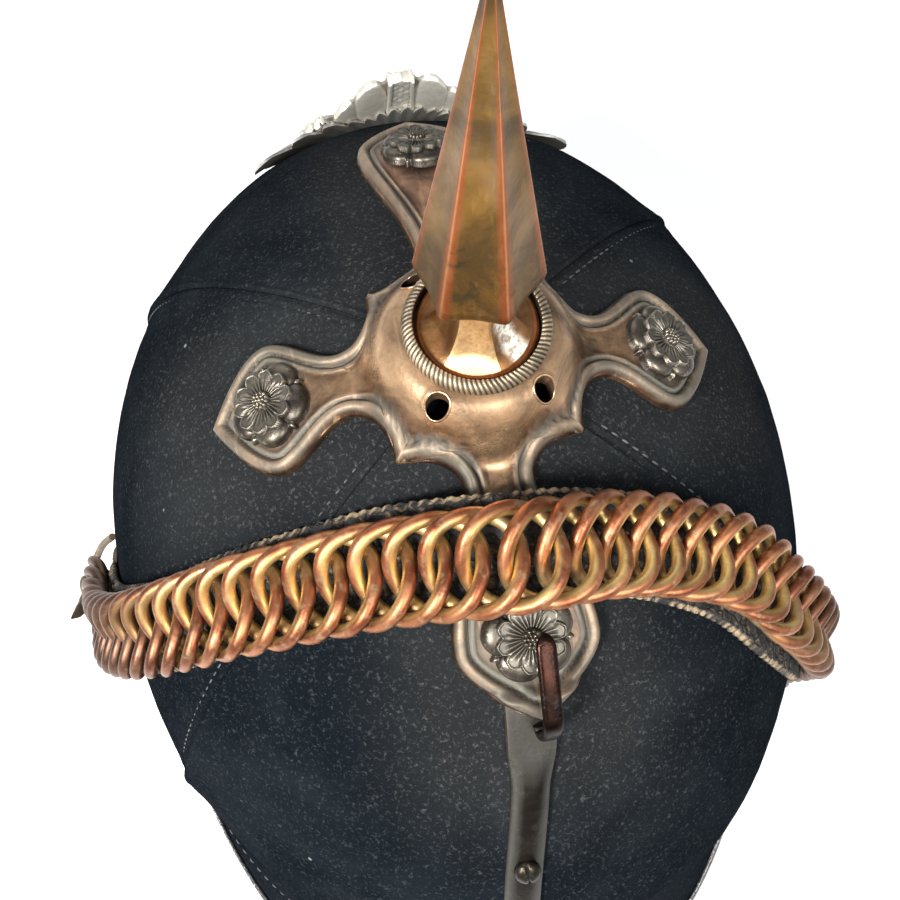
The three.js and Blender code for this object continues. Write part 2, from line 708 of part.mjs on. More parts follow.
// Evenly spaced frames along the chain's route, a given height above the cloth, with free length at its ends.
function chainFrames(count, height, start, end) {
  const fineSteps = 240;
  const fine = routeCurve.getPoints(fineSteps).map(({ x: sideAngle, y }) => {
    const foot = domeAtSideAngle(sideAngle, y);
    const out = domeNormalAt(foot);
    return { out, point: foot.clone().addScaledVector(out, height + archOver(foot)) };
  });
  const lengths = [0];
  fine.slice(1).forEach(({ point }, index) => {
    lengths.push(lengths[index] + point.distanceTo(fine[index].point));
  });
  const total = lengths[lengths.length - 1];
  return Array.from({ length: count }, (_, item) => {
    const target = mix(start, total - end, item / (count - 1));
    const index = Math.min(Math.max(lengths.findIndex((length) => length >= target), 1), fine.length - 1);
    const share = (target - lengths[index - 1]) / (lengths[index] - lengths[index - 1]);
    const point = fine[index - 1].point.clone().lerp(fine[index].point, share);
    const ahead = fine[Math.min(index + 2, fine.length - 1)].point.clone()
      .sub(fine[Math.max(index - 3, 0)].point).normalize();
    const { out: normal } = fine[index - 1];
    const out = normal.clone().addScaledVector(ahead, -normal.dot(ahead)).normalize();
    return { point, ahead, out, across: out.clone().cross(ahead).normalize(), length: total - start - end };
  });
}

function chainStrap() {
  const steps = 60;
  const height = STRAP.clearance + STRAP.thickness / 2;
  const frames = chainFrames(steps, height, BOSS.radius + 2 * GAP, STRAP.looseEnd);
  const [half, thick] = [STRAP.half, STRAP.thickness / 2];
  return sweep([[-half, -thick], [half, -thick], [half, thick], [-half, thick]], frames);
}

// One ring, bent like a curb link so that it lies over one neighbour and under the other.
function ringLink(frame, twist) {
  const frames = Array.from({ length: CHAIN.ringSteps }, (_, step) => {
    const angle = (step / CHAIN.ringSteps) * TURN;
    const at = (turn) => frame.point.clone()
      .addScaledVector(frame.ahead, CHAIN.ringRadius * Math.cos(turn))
      .addScaledVector(frame.across, CHAIN.ringRadius * Math.sin(turn))
      .addScaledVector(frame.out, -twist * Math.sin(2 * turn));
    const ahead = at(angle + 0.01).sub(at(angle - 0.01)).normalize();
    const across = ahead.clone().cross(frame.out).normalize();
    return { point: at(angle), across, out: across.clone().cross(ahead).normalize() };
  });
  return toSolid(sweep(roundProfile(CHAIN.wire, CHAIN.wireSides), frames, true));
}

function chainSegments() {
  const height = STRAP.clearance + STRAP.thickness + CHAIN.height;
  const lastLink = CHAIN.ringRadius + CHAIN.wire;
  const { length } = chainFrames(2, height, BOSS.firstLink, lastLink)[0];
  const count = Math.round(length / CHAIN.pitch) + 1;
  const frames = chainFrames(count, height, BOSS.firstLink, lastLink);
  const segments = [];
  for (let segment = 0; segment < CHAIN.segments; segment += 1) {
    const first = Math.round((segment * count) / CHAIN.segments);
    const last = Math.round(((segment + 1) * count) / CHAIN.segments) - 1;
    let solid = null;
    for (let link = first; link <= last; link += 1) {
      const meetsNext = (link === first && link > 0) || (link === last && link < count - 1);
      const ring = ringLink(frames[link], meetsNext ? CHAIN.looseTwist : CHAIN.twist);
      solid = solid ? solid.add(ring) : ring;
    }
    segments.push(fromSolid(solid.simplify(CHAIN.evenness)));
  }
  return segments;
}

// ---------------------------------------------------------------- side bosses

function bossSeat(side) {
  const point = domeAtSideAngle(side > 0 ? BOSS.sideAngle : 180 - BOSS.sideAngle, BOSS.y);
  const out = domeNormalAt(point);
  return { point: point.addScaledVector(out, 2 * GAP), out };
}

function sideBoss(side) {
  const { point, out } = bossSeat(side);
  const { radius, thickness, pinRadius } = BOSS;
  const height = side > 0 ? BOSS.pinHeight : BOSS.stubHeight;
  const profile = [[0, 0], [radius, 0], [radius, thickness * 0.6], [radius * 0.9, thickness],
    [pinRadius, thickness], [pinRadius, height], [0, height]];
  return stand(turned(profile, 20), point, out);
}

// The leaf-shaped hook and its wire loop stand on the left boss's pin.
function bossHook() {
  const { point, out } = bossSeat(1);
  const at = ({ back, up, off }) => point.clone().addScaledVector(out, off)
    .add(new THREE.Vector3(0, back, up));
  const leaf = BOSS_LEAF.map(at);
  const frames = alongPoints(leaf, out).map((frame, index) => {
    const width = BOSS_LEAF[index].width;
    return { ...frame, across: frame.out.multiplyScalar(width), out: frame.across };
  });
  const blade = sweep([[-1, -0.5], [0, -0.9], [1, -0.5], [1, 0.5], [0, 0.9], [-1, 0.5]], frames);
  const loop = BOSS_LOOP.map(at);
  const curve = new THREE.CatmullRomCurve3(loop, false, 'centripetal');
  const wire = sweep(roundProfile(BOSS.hookWire, 6), alongPoints(curve.getPoints(14), out));
  const { knobRadius, knobHeight, pinHeight } = BOSS;
  const profile = [[0, 0], [knobRadius * 0.8, 0], [knobRadius, knobHeight / 2],
    [knobRadius * 0.7, knobHeight], [0, knobHeight]];
  const knob = stand(turned(profile, 14), at({ back: 0, up: 0, off: pinHeight + GAP }), out);
  return fromSolid(toSolid(blade).add(toSolid(wire)).add(toSolid(knob)));
}

// ---------------------------------------------------------------- front plate

// The body's front surface at a given x and height.
function frontPoint(x, z) {
  let angle = -Math.acos(Math.max(Math.min(x / BODY.halfWidth, 0.99), -0.99));
  let level = 1;
  for (let step = 0; step < 8; step += 1) {
    level = levelAtHeight(angle, z);
    const now = bodyPoint(angle, level).x;
    const slope = (bodyPoint(angle + 1e-3, level).x - now) / 1e-3;
    angle += Math.min(Math.max((x - now) / slope, -0.3), 0.3);
  }
  return bodyPoint(angle, level);
}

// The plate is bent less than the dome, so its top stands away from the cloth.
function platePoint(x, z, lift) {
  const body = frontPoint(x + PLATE.x, z);
  const rise = Math.max(z - PLATE.centreHeight, 0);
  const free = PLATE.y + PLATE.tilt * rise + (x * x) / (2 * PLATE.bend);
  const touching = body.y - GAP - PLATE.standOff - bandLift(z);
  const gap = touching - free;
  const y = touching - (Math.hypot(gap, PLATE.blend) + gap) / 2;
  return new THREE.Vector3(x + PLATE.x, y - lift, z);
}

function starRadius(angle) {
  const turn = (angle / TURN) * PLATE.rays;
  const nearest = Math.round(turn);
  const away = Math.abs(turn - nearest) * 2;
  const index = ((nearest % PLATE.rays) + PLATE.rays) % PLATE.rays;
  return mix(PLATE.rayLengths[index], PLATE.valley, away);
}

function platePatch(radius, lift, columns, rows, hole = 0) {
  const point = (extra) => (u, v) => {
    const angle = u * TURN;
    const reach = mix(hole, 1, v) * radius(angle);
    return platePoint(reach * Math.sin(angle), PLATE.centreHeight + reach * Math.cos(angle), lift + extra);
  };
  return shell(columns, rows, point(PLATE.thickness), point(0), true);
}

// height of the crown's upper edge at distances from its middle, over the arch, two lobes and the rim's end
const CROWN_OUTLINE = [
  { across: 0, top: 142.5 }, { across: 8, top: 142 }, { across: 12, top: 138.5 }, { across: 15, top: 136.1 },
  { across: 19, top: 132.2 }, { across: 23, top: 133.7 }, { across: 26.5, top: 132.8 }, { across: 30, top: 131.8 },
];

function plateCrown() {
  const topAt = (across) => {
    const next = Math.max(CROWN_OUTLINE.findIndex((row) => row.across >= across), 1);
    const [low, high] = [CROWN_OUTLINE[next - 1], CROWN_OUTLINE[next]];
    return mix(low.top, high.top, (across - low.across) / (high.across - low.across));
  };
  const point = (extra) => (u, v) => {
    const across = 2 * u - 1;
    const x = across * PLATE.crownHalf;
    const foot = PLATE.crownFoot + PLATE.crownSweep * x * x;
    const upward = Math.sin(Math.PI * mix(0.1, 0.9, v));
    const bulge = PLATE.crownBulge * Math.sqrt(1 - across ** 2) * upward;
    return platePoint(x, mix(foot, topAt(Math.abs(x)), v), PLATE.layer + 2 * GAP + extra + bulge);
  };
  return shell(18, 7, point(PLATE.thickness), point(0));
}

// ---------------------------------------------------------------- the helmet

const FINISH = {
  cloth: { color: 0x14171d, roughness: 0.95, metalness: 0 },
  bronze: { color: 0x6d4a30, roughness: 0.38, metalness: 0.9 },
  copper: { color: 0x9a5230, roughness: 0.35, metalness: 0.9 },
  silver: { color: 0x8f887c, roughness: 0.4, metalness: 0.9 },
  leather: { color: 0x1b1512, roughness: 0.6, metalness: 0 },
};

const helmet = new THREE.Group();

function add(name, geometry, finish) {
  geometry.computeVertexNormals();
  const mesh = new THREE.Mesh(geometry, new THREE.MeshStandardMaterial(FINISH[finish]));
  mesh.name = name;
  helmet.add(mesh);
}

const seam = degrees(SEAM_ANGLE);
const PANELS = [
  { name: 'left_panel', from: -seam, to: seam, columns: 10 },
  { name: 'back_panel', from: seam, to: Math.PI - seam, columns: 18 },
  { name: 'right_panel', from: Math.PI - seam, to: Math.PI + seam, columns: 10 },
  { name: 'front_panel', from: Math.PI + seam, to: TURN - seam, columns: 18 },
];
for (const { name, from, to, columns } of PANELS) add(name, panel(from, to, columns), 'cloth');

add('back_peak', peak(0, Math.PI, BINDING.leatherWidth, 36), 'cloth');
add('front_peak', peak(-Math.PI, 0, BINDING.metalWidth, 36), 'cloth');
add('back_peak_binding', binding(0, Math.PI, BINDING.leatherWidth, 32), 'leather');
add('front_peak_binding', binding(-Math.PI, 0, BINDING.metalWidth, 32), 'bronze');
add('cloth_band', clothBand(), 'cloth');

add('cross_piece', crossPiece(), 'bronze');
add('rose_left', rose(ROSE.side, 0), 'bronze');
add('rose_right', rose(-ROSE.side, 0), 'bronze');
add('rose_back', rose(0, ROSE.back), 'bronze');
add('rose_front', rose(0, -ROSE.front), 'bronze');
add('collar', collar(), 'bronze');
add('spike', spike(), 'copper');
add('spine', spine(), 'bronze');
add('spine_stud', spineStud(), 'bronze');
add('strap_hook', strapHook(), 'bronze');

add('chain_strap', chainStrap(), 'leather');
chainSegments().forEach((geometry, index) => add(`chain_${index + 1}`, geometry, 'copper'));
for (const [word, side] of [['left', 1], ['right', -1]]) {
  add(`side_boss_${word}`, sideBoss(side), 'bronze');
}
add('boss_hook_left', bossHook(), 'bronze');

add('plate_star', platePatch(starRadius, 0, 48, 4), 'silver');
const wreathRadius = () => PLATE.wreathRadius;
add('plate_wreath', platePatch(wreathRadius, PLATE.layer + 3 * GAP, 32, 2, PLATE.wreathHole), 'silver');
add('plate_crown', plateCrown(), 'silver');

export default helmet;
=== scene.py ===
"""Looks for the cloth helmet: cloth body, bronze fittings, ring chain and front plate around the fixed frame.

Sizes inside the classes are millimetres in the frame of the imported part: +Z up, the front faces -Y and the
wearer's left is +X. Every mesh is scaled to metres as it is made.
"""

import logging
import math
from dataclasses import dataclass, field
from enum import Enum
from typing import Callable, Sequence

import bmesh
import bpy
import numpy as np
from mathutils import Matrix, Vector
from mathutils.kdtree import KDTree


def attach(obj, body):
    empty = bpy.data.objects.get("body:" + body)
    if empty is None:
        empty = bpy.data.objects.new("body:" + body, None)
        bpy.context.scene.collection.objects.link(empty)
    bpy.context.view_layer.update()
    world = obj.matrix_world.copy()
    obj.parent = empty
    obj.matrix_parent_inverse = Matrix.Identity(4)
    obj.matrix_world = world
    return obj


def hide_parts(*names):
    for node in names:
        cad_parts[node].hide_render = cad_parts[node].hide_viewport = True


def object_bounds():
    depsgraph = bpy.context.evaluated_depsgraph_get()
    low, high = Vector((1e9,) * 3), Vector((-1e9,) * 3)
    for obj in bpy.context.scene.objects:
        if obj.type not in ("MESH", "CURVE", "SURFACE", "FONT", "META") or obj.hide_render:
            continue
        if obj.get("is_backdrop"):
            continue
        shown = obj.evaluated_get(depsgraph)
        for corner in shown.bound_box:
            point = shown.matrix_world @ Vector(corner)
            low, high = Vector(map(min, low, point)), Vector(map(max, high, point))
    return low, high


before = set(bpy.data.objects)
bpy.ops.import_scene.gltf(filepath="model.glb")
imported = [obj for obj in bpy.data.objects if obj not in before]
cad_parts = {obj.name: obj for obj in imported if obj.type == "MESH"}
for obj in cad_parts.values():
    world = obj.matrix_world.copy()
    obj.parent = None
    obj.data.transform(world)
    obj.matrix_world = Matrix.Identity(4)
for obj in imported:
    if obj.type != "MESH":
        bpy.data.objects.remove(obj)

LOG = logging.getLogger("helmet")
MM = 0.001
TURN = 2 * math.pi
GAP = 0.3
Array = np.ndarray
Amount = float | Array
Masks = dict[str, Amount]
Colour = tuple[float, float, float]
Place = tuple[float, float, float]
Piece = bpy.types.Object
Material = bpy.types.Material
Socket = bpy.types.NodeSocket
Sockets = dict[str, Socket]


class Side(Enum):
    """The wearer's two sides, as a sign along X."""

    LEFT = 1
    RIGHT = -1


class Slot(Enum):
    """Material slots that the record names."""

    CLOTH = "blue_cloth"
    BRONZE = "dark_bronze"
    SPIKE = "spike_bronze"
    CHAIN = "chain_bronze"
    SILVER = "silver_plate"
    PATENT = "patent_leather"
    STRAP = "strap_leather"


# ---------------------------------------------------------------- numbers


def mix(a: Amount, b: Amount, share: Amount) -> Amount:
    """Goes straight from a to b as share goes from 0 to 1."""
    return a + (b - a) * share


def smooth_step(low: float, high: float, value: Amount) -> Amount:
    """An S-shaped rise from 0 at low to 1 at high; low may be the larger."""
    share = np.clip((value - low) / (high - low), 0, 1)
    return share * share * (3 - 2 * share)


def bump(distance: Amount, width: float) -> Amount:
    """A smooth hump: 1 at distance 0, falling away over width."""
    return np.exp(-((distance / width) ** 2))


def half_round(distance: Amount, half_width: float) -> Amount:
    """The height of a half-round bead of height 1, at a distance from its middle."""
    return np.sqrt(np.maximum(1 - (distance / half_width) ** 2, 0))


def unit(vectors: Array) -> Array:
    """Vectors of length 1 along the last axis."""
    return vectors / np.maximum(np.linalg.norm(vectors, axis=-1, keepdims=True), 1e-12)


def point(x: Amount, y: Amount, z: Amount) -> Array:
    """Stacks three coordinates, broadcast together, into points."""
    return np.stack(np.broadcast_arrays(np.asarray(x, float), y, z), -1)


def whole_turn(count: int) -> Array:
    """Evenly spaced angles round a whole turn, without the last."""
    return np.linspace(0, TURN, count + 1)[:-1]


def plan_along(along: Array, across: Array, turn: float) -> Array:
    """Plan points from distances along and across a direction given in degrees."""
    cos, sin = math.cos(math.radians(turn)), math.sin(math.radians(turn))
    return np.stack([along * cos - across * sin, along * sin + across * cos], -1)


def rows_at(rows: Array, length: Array, target: Array) -> Array:
    """Points of a line, or directions kept along it, at lengths from its start."""
    return np.stack([np.interp(target, length, rows[:, axis]) for axis in range(3)], -1)


def dense_ends(length: float, fine: float, reach: float, middle: int) -> Array:
    """Shares from 0 to 1 that lie close together near both ends.

    Args:
        length: The whole length.
        fine: The step near the ends.
        reach: How far from each end the fine steps go.
        middle: How many steps the rest gets.

    Returns:
        The rising shares.
    """
    near = np.arange(0, reach, fine)
    rest = np.linspace(reach, length - reach, middle)
    return np.concatenate([near, rest, (length - near)[::-1]]) / length


@dataclass(frozen=True)
class Ripples:
    """A gentle unevenness made of a few waves in set directions."""

    seed: int
    wavelength: float
    height: float
    waves: int = 12

    def at(self, points: Array) -> Array:
        """The unevenness at points, in millimetres.

        Args:
            points: The points.

        Returns:
            The lift at each point.
        """
        rng = np.random.default_rng(self.seed)
        direction = unit(rng.normal(size=(self.waves, 3)))
        rate = TURN / (self.wavelength * rng.uniform(0.6, 1.7, (self.waves, 1)))
        phase = rng.uniform(0, TURN, self.waves)
        return self.height * math.sqrt(2 / self.waves) * np.sin(points @ (direction * rate).T + phase).sum(-1)


def smooth_route(points: Array, count: int) -> Array:
    """A centripetal Catmull-Rom curve through points.

    Args:
        points: The points that the curve passes.
        count: How many steps the curve is cut into.

    Returns:
        count + 1 points along the curve.
    """
    padded = np.vstack([2 * points[0] - points[1], points, 2 * points[-1] - points[-2]])
    made = []
    for step in range(count + 1):
        place = step / count * (len(points) - 1)
        first = min(int(place), len(points) - 2)
        share = place - first
        p0, p1, p2, p3 = padded[first:first + 4]
        d0, d1, d2 = (math.sqrt(np.linalg.norm(b - a)) for a, b in ((p0, p1), (p1, p2), (p2, p3)))
        t1 = ((p1 - p0) / d0 - (p2 - p0) / (d0 + d1) + (p2 - p1) / d1) * d1
        t2 = ((p2 - p1) / d1 - (p3 - p1) / (d1 + d2) + (p3 - p2) / d2) * d1
        s2, s3 = share ** 2, share ** 3
        made.append((2 * s3 - 3 * s2 + 1) * p1 + (s3 - 2 * s2 + share) * t1
                    + (3 * s2 - 2 * s3) * p2 + (s3 - s2) * t2)
    return np.array(made)


# ---------------------------------------------------------------- meshes


class Shape:
    """A mesh in the making: points in millimetres, faces, and named masks that the finishes read."""

    def __init__(self) -> None:
        """Starts empty."""
        self.points: list[Array] = []
        self.faces: list[tuple[int, ...]] = []
        self.masks: dict[str, dict[int, Array]] = {}
        self.size = 0

    def block(self, points: Array, masks: Masks | None = None) -> int:
        """Adds points with their masks.

        Args:
            points: Points of any leading shape.
            masks: Mask values that broadcast to the points.

        Returns:
            The index of the first point added.
        """
        first = self.size
        for name, values in (masks or {}).items():
            flat = np.broadcast_to(values, points.shape[:-1]).reshape(-1)
            self.masks.setdefault(name, {})[first] = flat
        self.points.append(points.reshape(-1, 3))
        self.size += self.points[-1].shape[0]
        return first

    def grid(self, points: Array, closed: bool = False, flip: bool = False,
             masks: Masks | None = None) -> int:
        """Adds a sheet of four-sided faces.

        Args:
            points: Rows and columns of points.
            closed: Whether the last column meets the first.
            flip: Whether the faces are turned over.
            masks: Mask values for the points.

        Returns:
            The index of the first point added.
        """
        first = self.block(points, masks)
        rows, columns = points.shape[:2]
        row, column = np.mgrid[0:rows - 1, 0:columns if closed else columns - 1]
        here = first + row * columns + column
        right = first + row * columns + (column + 1) % columns
        quads = np.stack([here, right, right + columns, here + columns], -1).reshape(-1, 4)
        self.faces.extend(map(tuple, (quads[:, ::-1] if flip else quads).tolist()))
        return first

    def bridge(self, one: Array, other: Array) -> None:
        """Joins two rows of point indices of equal length with faces."""
        quads = np.stack([one[:-1], one[1:], other[1:], other[:-1]], -1)
        self.faces.extend(map(tuple, quads.tolist()))

    def shell(self, outer: Array, inner: Array, closed: bool = False,
              masks: Masks | None = None,
              inner_masks: Masks | None = None) -> None:
        """Adds a closed wall between two sheets of the same layout.

        Args:
            outer: The outer sheet's rows and columns.
            inner: The inner sheet's rows and columns.
            closed: Whether the last column meets the first.
            masks: Mask values for the outer sheet.
            inner_masks: Mask values for the inner sheet.
        """
        rows, columns = outer.shape[:2]
        first = self.grid(outer, closed, False, masks)
        second = self.grid(inner, closed, True, inner_masks)
        index = np.arange(rows * columns).reshape(rows, columns)
        edges = [index[0], index[-1][::-1]]
        if closed:
            edges = [np.append(edge, edge[0]) for edge in edges]
        else:
            edges += [index[:, -1], index[:, 0][::-1]]
        for edge in edges:
            self.bridge(first + edge[::-1], second + edge[::-1])

    def tube(self, stations: Array, closed: bool = False,
             masks: Masks | None = None) -> None:
        """Adds a tube through closed outlines, with its ends capped unless it is a loop.

        Args:
            stations: One outline of points per row.
            closed: Whether the last outline meets the first.
            masks: Mask values for the points.
        """
        if closed:
            stations = np.concatenate([stations, stations[:1]])
            masks = {name: np.concatenate([value, value[:1]]) if np.ndim(value) > 1 else value
                     for name, value in (masks or {}).items()}
        first = self.grid(stations, True, False, masks)
        if closed:
            return
        count = stations.shape[1]
        for row, turned in ((0, True), (stations.shape[0] - 1, False)):
            loop = list(range(first + row * count, first + (row + 1) * count))
            self.faces.append(tuple(loop[::-1] if turned else loop))

    def merge(self, other: "Shape") -> None:
        """Takes in another shape's points, faces and masks.

        Args:
            other: The shape taken in.
        """
        start = self.size
        for name, blocks in other.masks.items():
            for first, values in blocks.items():
                self.masks.setdefault(name, {})[start + first] = values
        self.points.extend(other.points)
        self.faces.extend(tuple(start + index for index in face) for face in other.faces)
        self.size += other.size

    def drop_faces(self, mask: str) -> None:
        """Leaves out the faces whose points all carry a mask.

        Args:
            mask: The mask's name.
        """
        values = np.zeros(self.size)
        for first, part in self.masks.pop(mask).items():
            values[first:first + len(part)] = part
        self.faces = [face for face in self.faces if values[list(face)].min() < 0.5]

    def made(self, name: str, crease: float = 180) -> Piece:
        """Makes the Blender object, in metres, with merged points and outward faces.

        Args:
            name: The object's name.
            crease: Edges sharper than this many degrees are shaded as edges.

        Returns:
            The new object, linked to the scene.
        """
        points = np.vstack(self.points) * MM
        mesh = bpy.data.meshes.new(name)
        mesh.from_pydata(points.tolist(), [], self.faces)
        for mask, blocks in self.masks.items():
            values = np.zeros(self.size, np.float32)
            for first, part in blocks.items():
                values[first:first + len(part)] = part
            mesh.attributes.new(mask, "FLOAT", "POINT").data.foreach_set("value", values)
        work = bmesh.new()
        work.from_mesh(mesh)
        bmesh.ops.remove_doubles(work, verts=work.verts, dist=2e-6)
        bmesh.ops.dissolve_degenerate(work, edges=work.edges, dist=1e-7)
        bmesh.ops.recalc_face_normals(work, faces=work.faces)
        loose = [vert for vert in work.verts if not vert.link_faces]
        bmesh.ops.delete(work, geom=loose, context="VERTS")
        work.to_mesh(mesh)
        work.free()
        mesh.polygons.foreach_set("use_smooth", [True] * len(mesh.polygons))
        if crease < 180:
            mesh.set_sharp_from_angle(angle=math.radians(crease))
        made = bpy.data.objects.new(name, mesh)
        bpy.context.scene.collection.objects.link(made)
        return made


def round_outline(radius: float, sides: int) -> Array:
    """A circle as [across, out] pairs."""
    angle = np.arange(sides) / sides * TURN
    return radius * np.stack([np.cos(angle), np.sin(angle)], -1)


def swept(points: Array, across: Array, out: Array, outline: Array, scale: Amount = 1.0) -> Array:
    """Places an outline of [across, out] pairs at every station.

    Args:
        points: The stations.
        across: A direction for each station.
        out: A direction for each station.
        outline: The outline's pairs.
        scale: The outline's size at each station.

    Returns:
        One row of points for each station.
    """
    size = np.broadcast_to(np.asarray(scale, float), points.shape[:1])[:, None, None]
    return (points[:, None] + outline[None, :, :1] * size * across[:, None]
            + outline[None, :, 1:] * size * out[:, None])


def frames_along(points: Array, hint: Array, closed: bool = False) -> tuple[Array, Array]:
    """Directions across a path.

    Args:
        points: The path.
        hint: A direction, or one for each point, that "out" stays near.
        closed: Whether the path is a loop.

    Returns:
        The across and out directions of each point.
    """
    if closed:
        ahead = np.roll(points, -1, 0) - np.roll(points, 1, 0)
    else:
        ahead = np.gradient(points, axis=0)
    ahead = unit(ahead)
    across = unit(np.cross(np.broadcast_to(hint, points.shape), ahead))
    return across, unit(np.cross(ahead, across))


def turned(profile: Array, sides: int) -> Array:
    """Stations of a turned solid about Z, from [radius, height] pairs, for Shape.tube.

    Args:
        profile: The [radius, height] pairs.
        sides: How many sides go round.

    Returns:
        The stations.
    """
    angle = np.arange(sides) / sides * TURN
    radius, height = profile[:, :1], profile[:, 1:]
    return point(radius * np.cos(angle), radius * np.sin(angle), height)


def stood(points: Array, foot: Array, out: Array, ahead: Array | None = None) -> Array:
    """Turns local points so that their Z is out, and moves their origin to foot.

    Args:
        points: Points about the origin.
        foot: Where the origin goes.
        out: The direction of local Z.
        ahead: A direction that local Y stays near.

    Returns:
        The placed points.
    """
    out = unit(np.asarray(out, float))
    hint = np.array([0, 1, 0]) if ahead is None else np.asarray(ahead, float)
    right = unit(np.cross(hint, out))
    forward = np.cross(out, right)
    return foot + points[..., :1] * right + points[..., 1:2] * forward + points[..., 2:] * out


# ---------------------------------------------------------------- the helmet's surface


@dataclass(frozen=True)
class HelmetForm:
    """The outer surface of the cloth body: a pointed dome over a skirt that flares into two peaks."""

    head_line: float = 88.0
    dome_height: float = 89.0
    half_width: float = 91.25
    front: float = 112.5
    back: float = 118.0
    power: float = 1.9
    wall: float = 3.0
    rim_half_width: float = 99.5
    rim_reach: float = 158.0
    rest_height: float = 2.2
    side_height: float = 28.0
    flat_share: float = 0.2
    rise_share: float = 0.75
    side_slope: float = 15.0
    peak_slope: float = 45.0
    sweep: float = 1.1
    top_axis: float = -1.5
    panel_foot: float = 52.0
    band_width: float = 19.0
    band_thickness: float = 1.0

    @property
    def crown(self) -> float:
        """Height of the dome's top."""
        return self.head_line + self.dome_height

    def dome(self, angle: Array, share: Array) -> Array:
        """Points of the dome; share is 0 at the crown and 1 at the head line.

        Args:
            angle: Plan angles round the dome.
            share: How far down from the crown.

        Returns:
            The points.
        """
        tilt = share * math.pi / 2
        across = np.sin(tilt) ** (2 / self.power)
        up = np.maximum(np.cos(tilt), 0) ** (2 / self.power)
        reach = np.where(np.sin(angle) > 0, self.back, self.front)
        return point(self.half_width * across * np.cos(angle), reach * across * np.sin(angle),
                     self.head_line + self.dome_height * up)

    def side_share(self, angle: Array) -> Array:
        """0 on the level front and back of the rim, 1 at its sides."""
        return smooth_step(self.flat_share, self.flat_share + self.rise_share, np.abs(np.cos(angle)))

    def rim(self, angle: Array) -> Array:
        """Points of the rim."""
        return point(self.rim_half_width * np.cos(angle), self.rim_reach * np.sin(angle),
                     mix(self.rest_height, self.side_height, self.side_share(angle)))

    def skirt(self, angle: Array, share: Array) -> Array:
        """Points below the head line; share is 1 at the rim.

        Args:
            angle: Plan angles round the dome.
            share: How far down from the head line.

        Returns:
            The points.
        """
        start, end = self.dome(angle, np.ones_like(share)), self.rim(angle)
        drop = self.head_line - end[..., 2]
        slope = np.radians(mix(self.peak_slope, self.side_slope, self.side_share(angle)))
        leaving = point(np.cos(angle) * np.sin(slope), np.sin(angle) * np.sin(slope), -np.cos(slope))
        leaving = leaving * (drop * self.sweep)[..., None]
        s1, s2, s3 = share[..., None], share[..., None] ** 2, share[..., None] ** 3
        down = point(0, 0, -drop)
        return ((2 * s3 - 3 * s2 + 1) * start + (3 * s2 - 2 * s3) * end
                + (s3 - 2 * s2 + s1) * down + (s3 - s2) * leaving)

    def at(self, angle: Amount, level: Amount) -> Array:
        """Points of the whole surface: level 0 is the crown, 1 the head line and 2 the rim.

        Args:
            angle: Plan angles round the dome.
            level: Levels on the surface.

        Returns:
            The points.
        """
        angle, level = np.broadcast_arrays(np.asarray(angle, float), np.asarray(level, float))
        above = self.dome(angle, np.clip(level, 0, 1))
        below = self.skirt(angle, np.clip(level - 1, 0, 1))
        return np.where((level < 1)[..., None], above, below)

    def normal(self, angle: Amount, level: Amount) -> Array:
        """Directions out of the surface.

        Args:
            angle: Plan angles round the dome.
            level: Levels on the surface.

        Returns:
            The unit directions.
        """
        step = 1e-3
        low = np.clip(level, 0.004, 2 - step)
        around = self.at(angle + step, low) - self.at(angle - step, low)
        down = self.at(angle, low + step) - self.at(angle, low - step)
        return unit(np.cross(down, around))

    def off(self, angle: Amount, level: Amount, distance: Amount) -> Array:
        """Points a distance off the surface."""
        return self.at(angle, level) + self.normal(angle, level) * np.asarray(distance, float)[..., None]

    def speed_round(self, angle: Amount, level: Amount) -> Array:
        """Millimetres of surface for each unit of angle.

        Args:
            angle: Plan angles round the dome.
            level: Levels on the surface.

        Returns:
            The millimetres.
        """
        step = 1e-3
        moved = self.at(np.asarray(angle) + step, level) - self.at(angle, level)
        return np.linalg.norm(moved, axis=-1) / step

    def speed_down(self, angle: Amount, level: Amount) -> Array:
        """Millimetres of surface for each unit of level."""
        level = np.asarray(level)
        return np.linalg.norm(self.at(angle, level) - self.at(angle, level - 0.05), axis=-1) / 0.05

    def level_at_height(self, angle: Array, height: Amount) -> Array:
        """The level at which the surface has a height, found by halving.

        Args:
            angle: Plan angles round the dome.
            height: The height over the floor.

        Returns:
            The levels.
        """
        low, high = np.zeros_like(angle), np.full_like(angle, 2.0)
        for _ in range(40):
            middle = (low + high) / 2
            above = self.at(angle, middle)[..., 2] > height
            low, high = np.where(above, middle, low), np.where(above, high, middle)
        return (low + high) / 2

    def level_behind(self, reach: Amount) -> Amount:
        """The level on the back of the dome at a distance behind the spike's axis."""
        return np.arcsin(np.clip(np.asarray(reach) / self.back, 0, 1) ** (self.power / 2)) / (math.pi / 2)

    def above(self, x: Amount, y: Amount, distance: Amount) -> Array:
        """Points over plan positions on the dome, moved off it.

        Args:
            x: Places to the wearer's left.
            y: Places behind the middle.
            distance: How far off the dome.

        Returns:
            The points.
        """
        x, y = np.broadcast_arrays(np.asarray(x, float), np.asarray(y, float))
        reach = np.where(y > 0, self.back, self.front)
        angle = np.arctan2(y / reach, x / self.half_width)
        across = np.minimum(np.hypot(x / self.half_width, y / reach), 1)
        level = np.arcsin(across ** (self.power / 2)) / (math.pi / 2)
        return self.off(angle, level, distance)

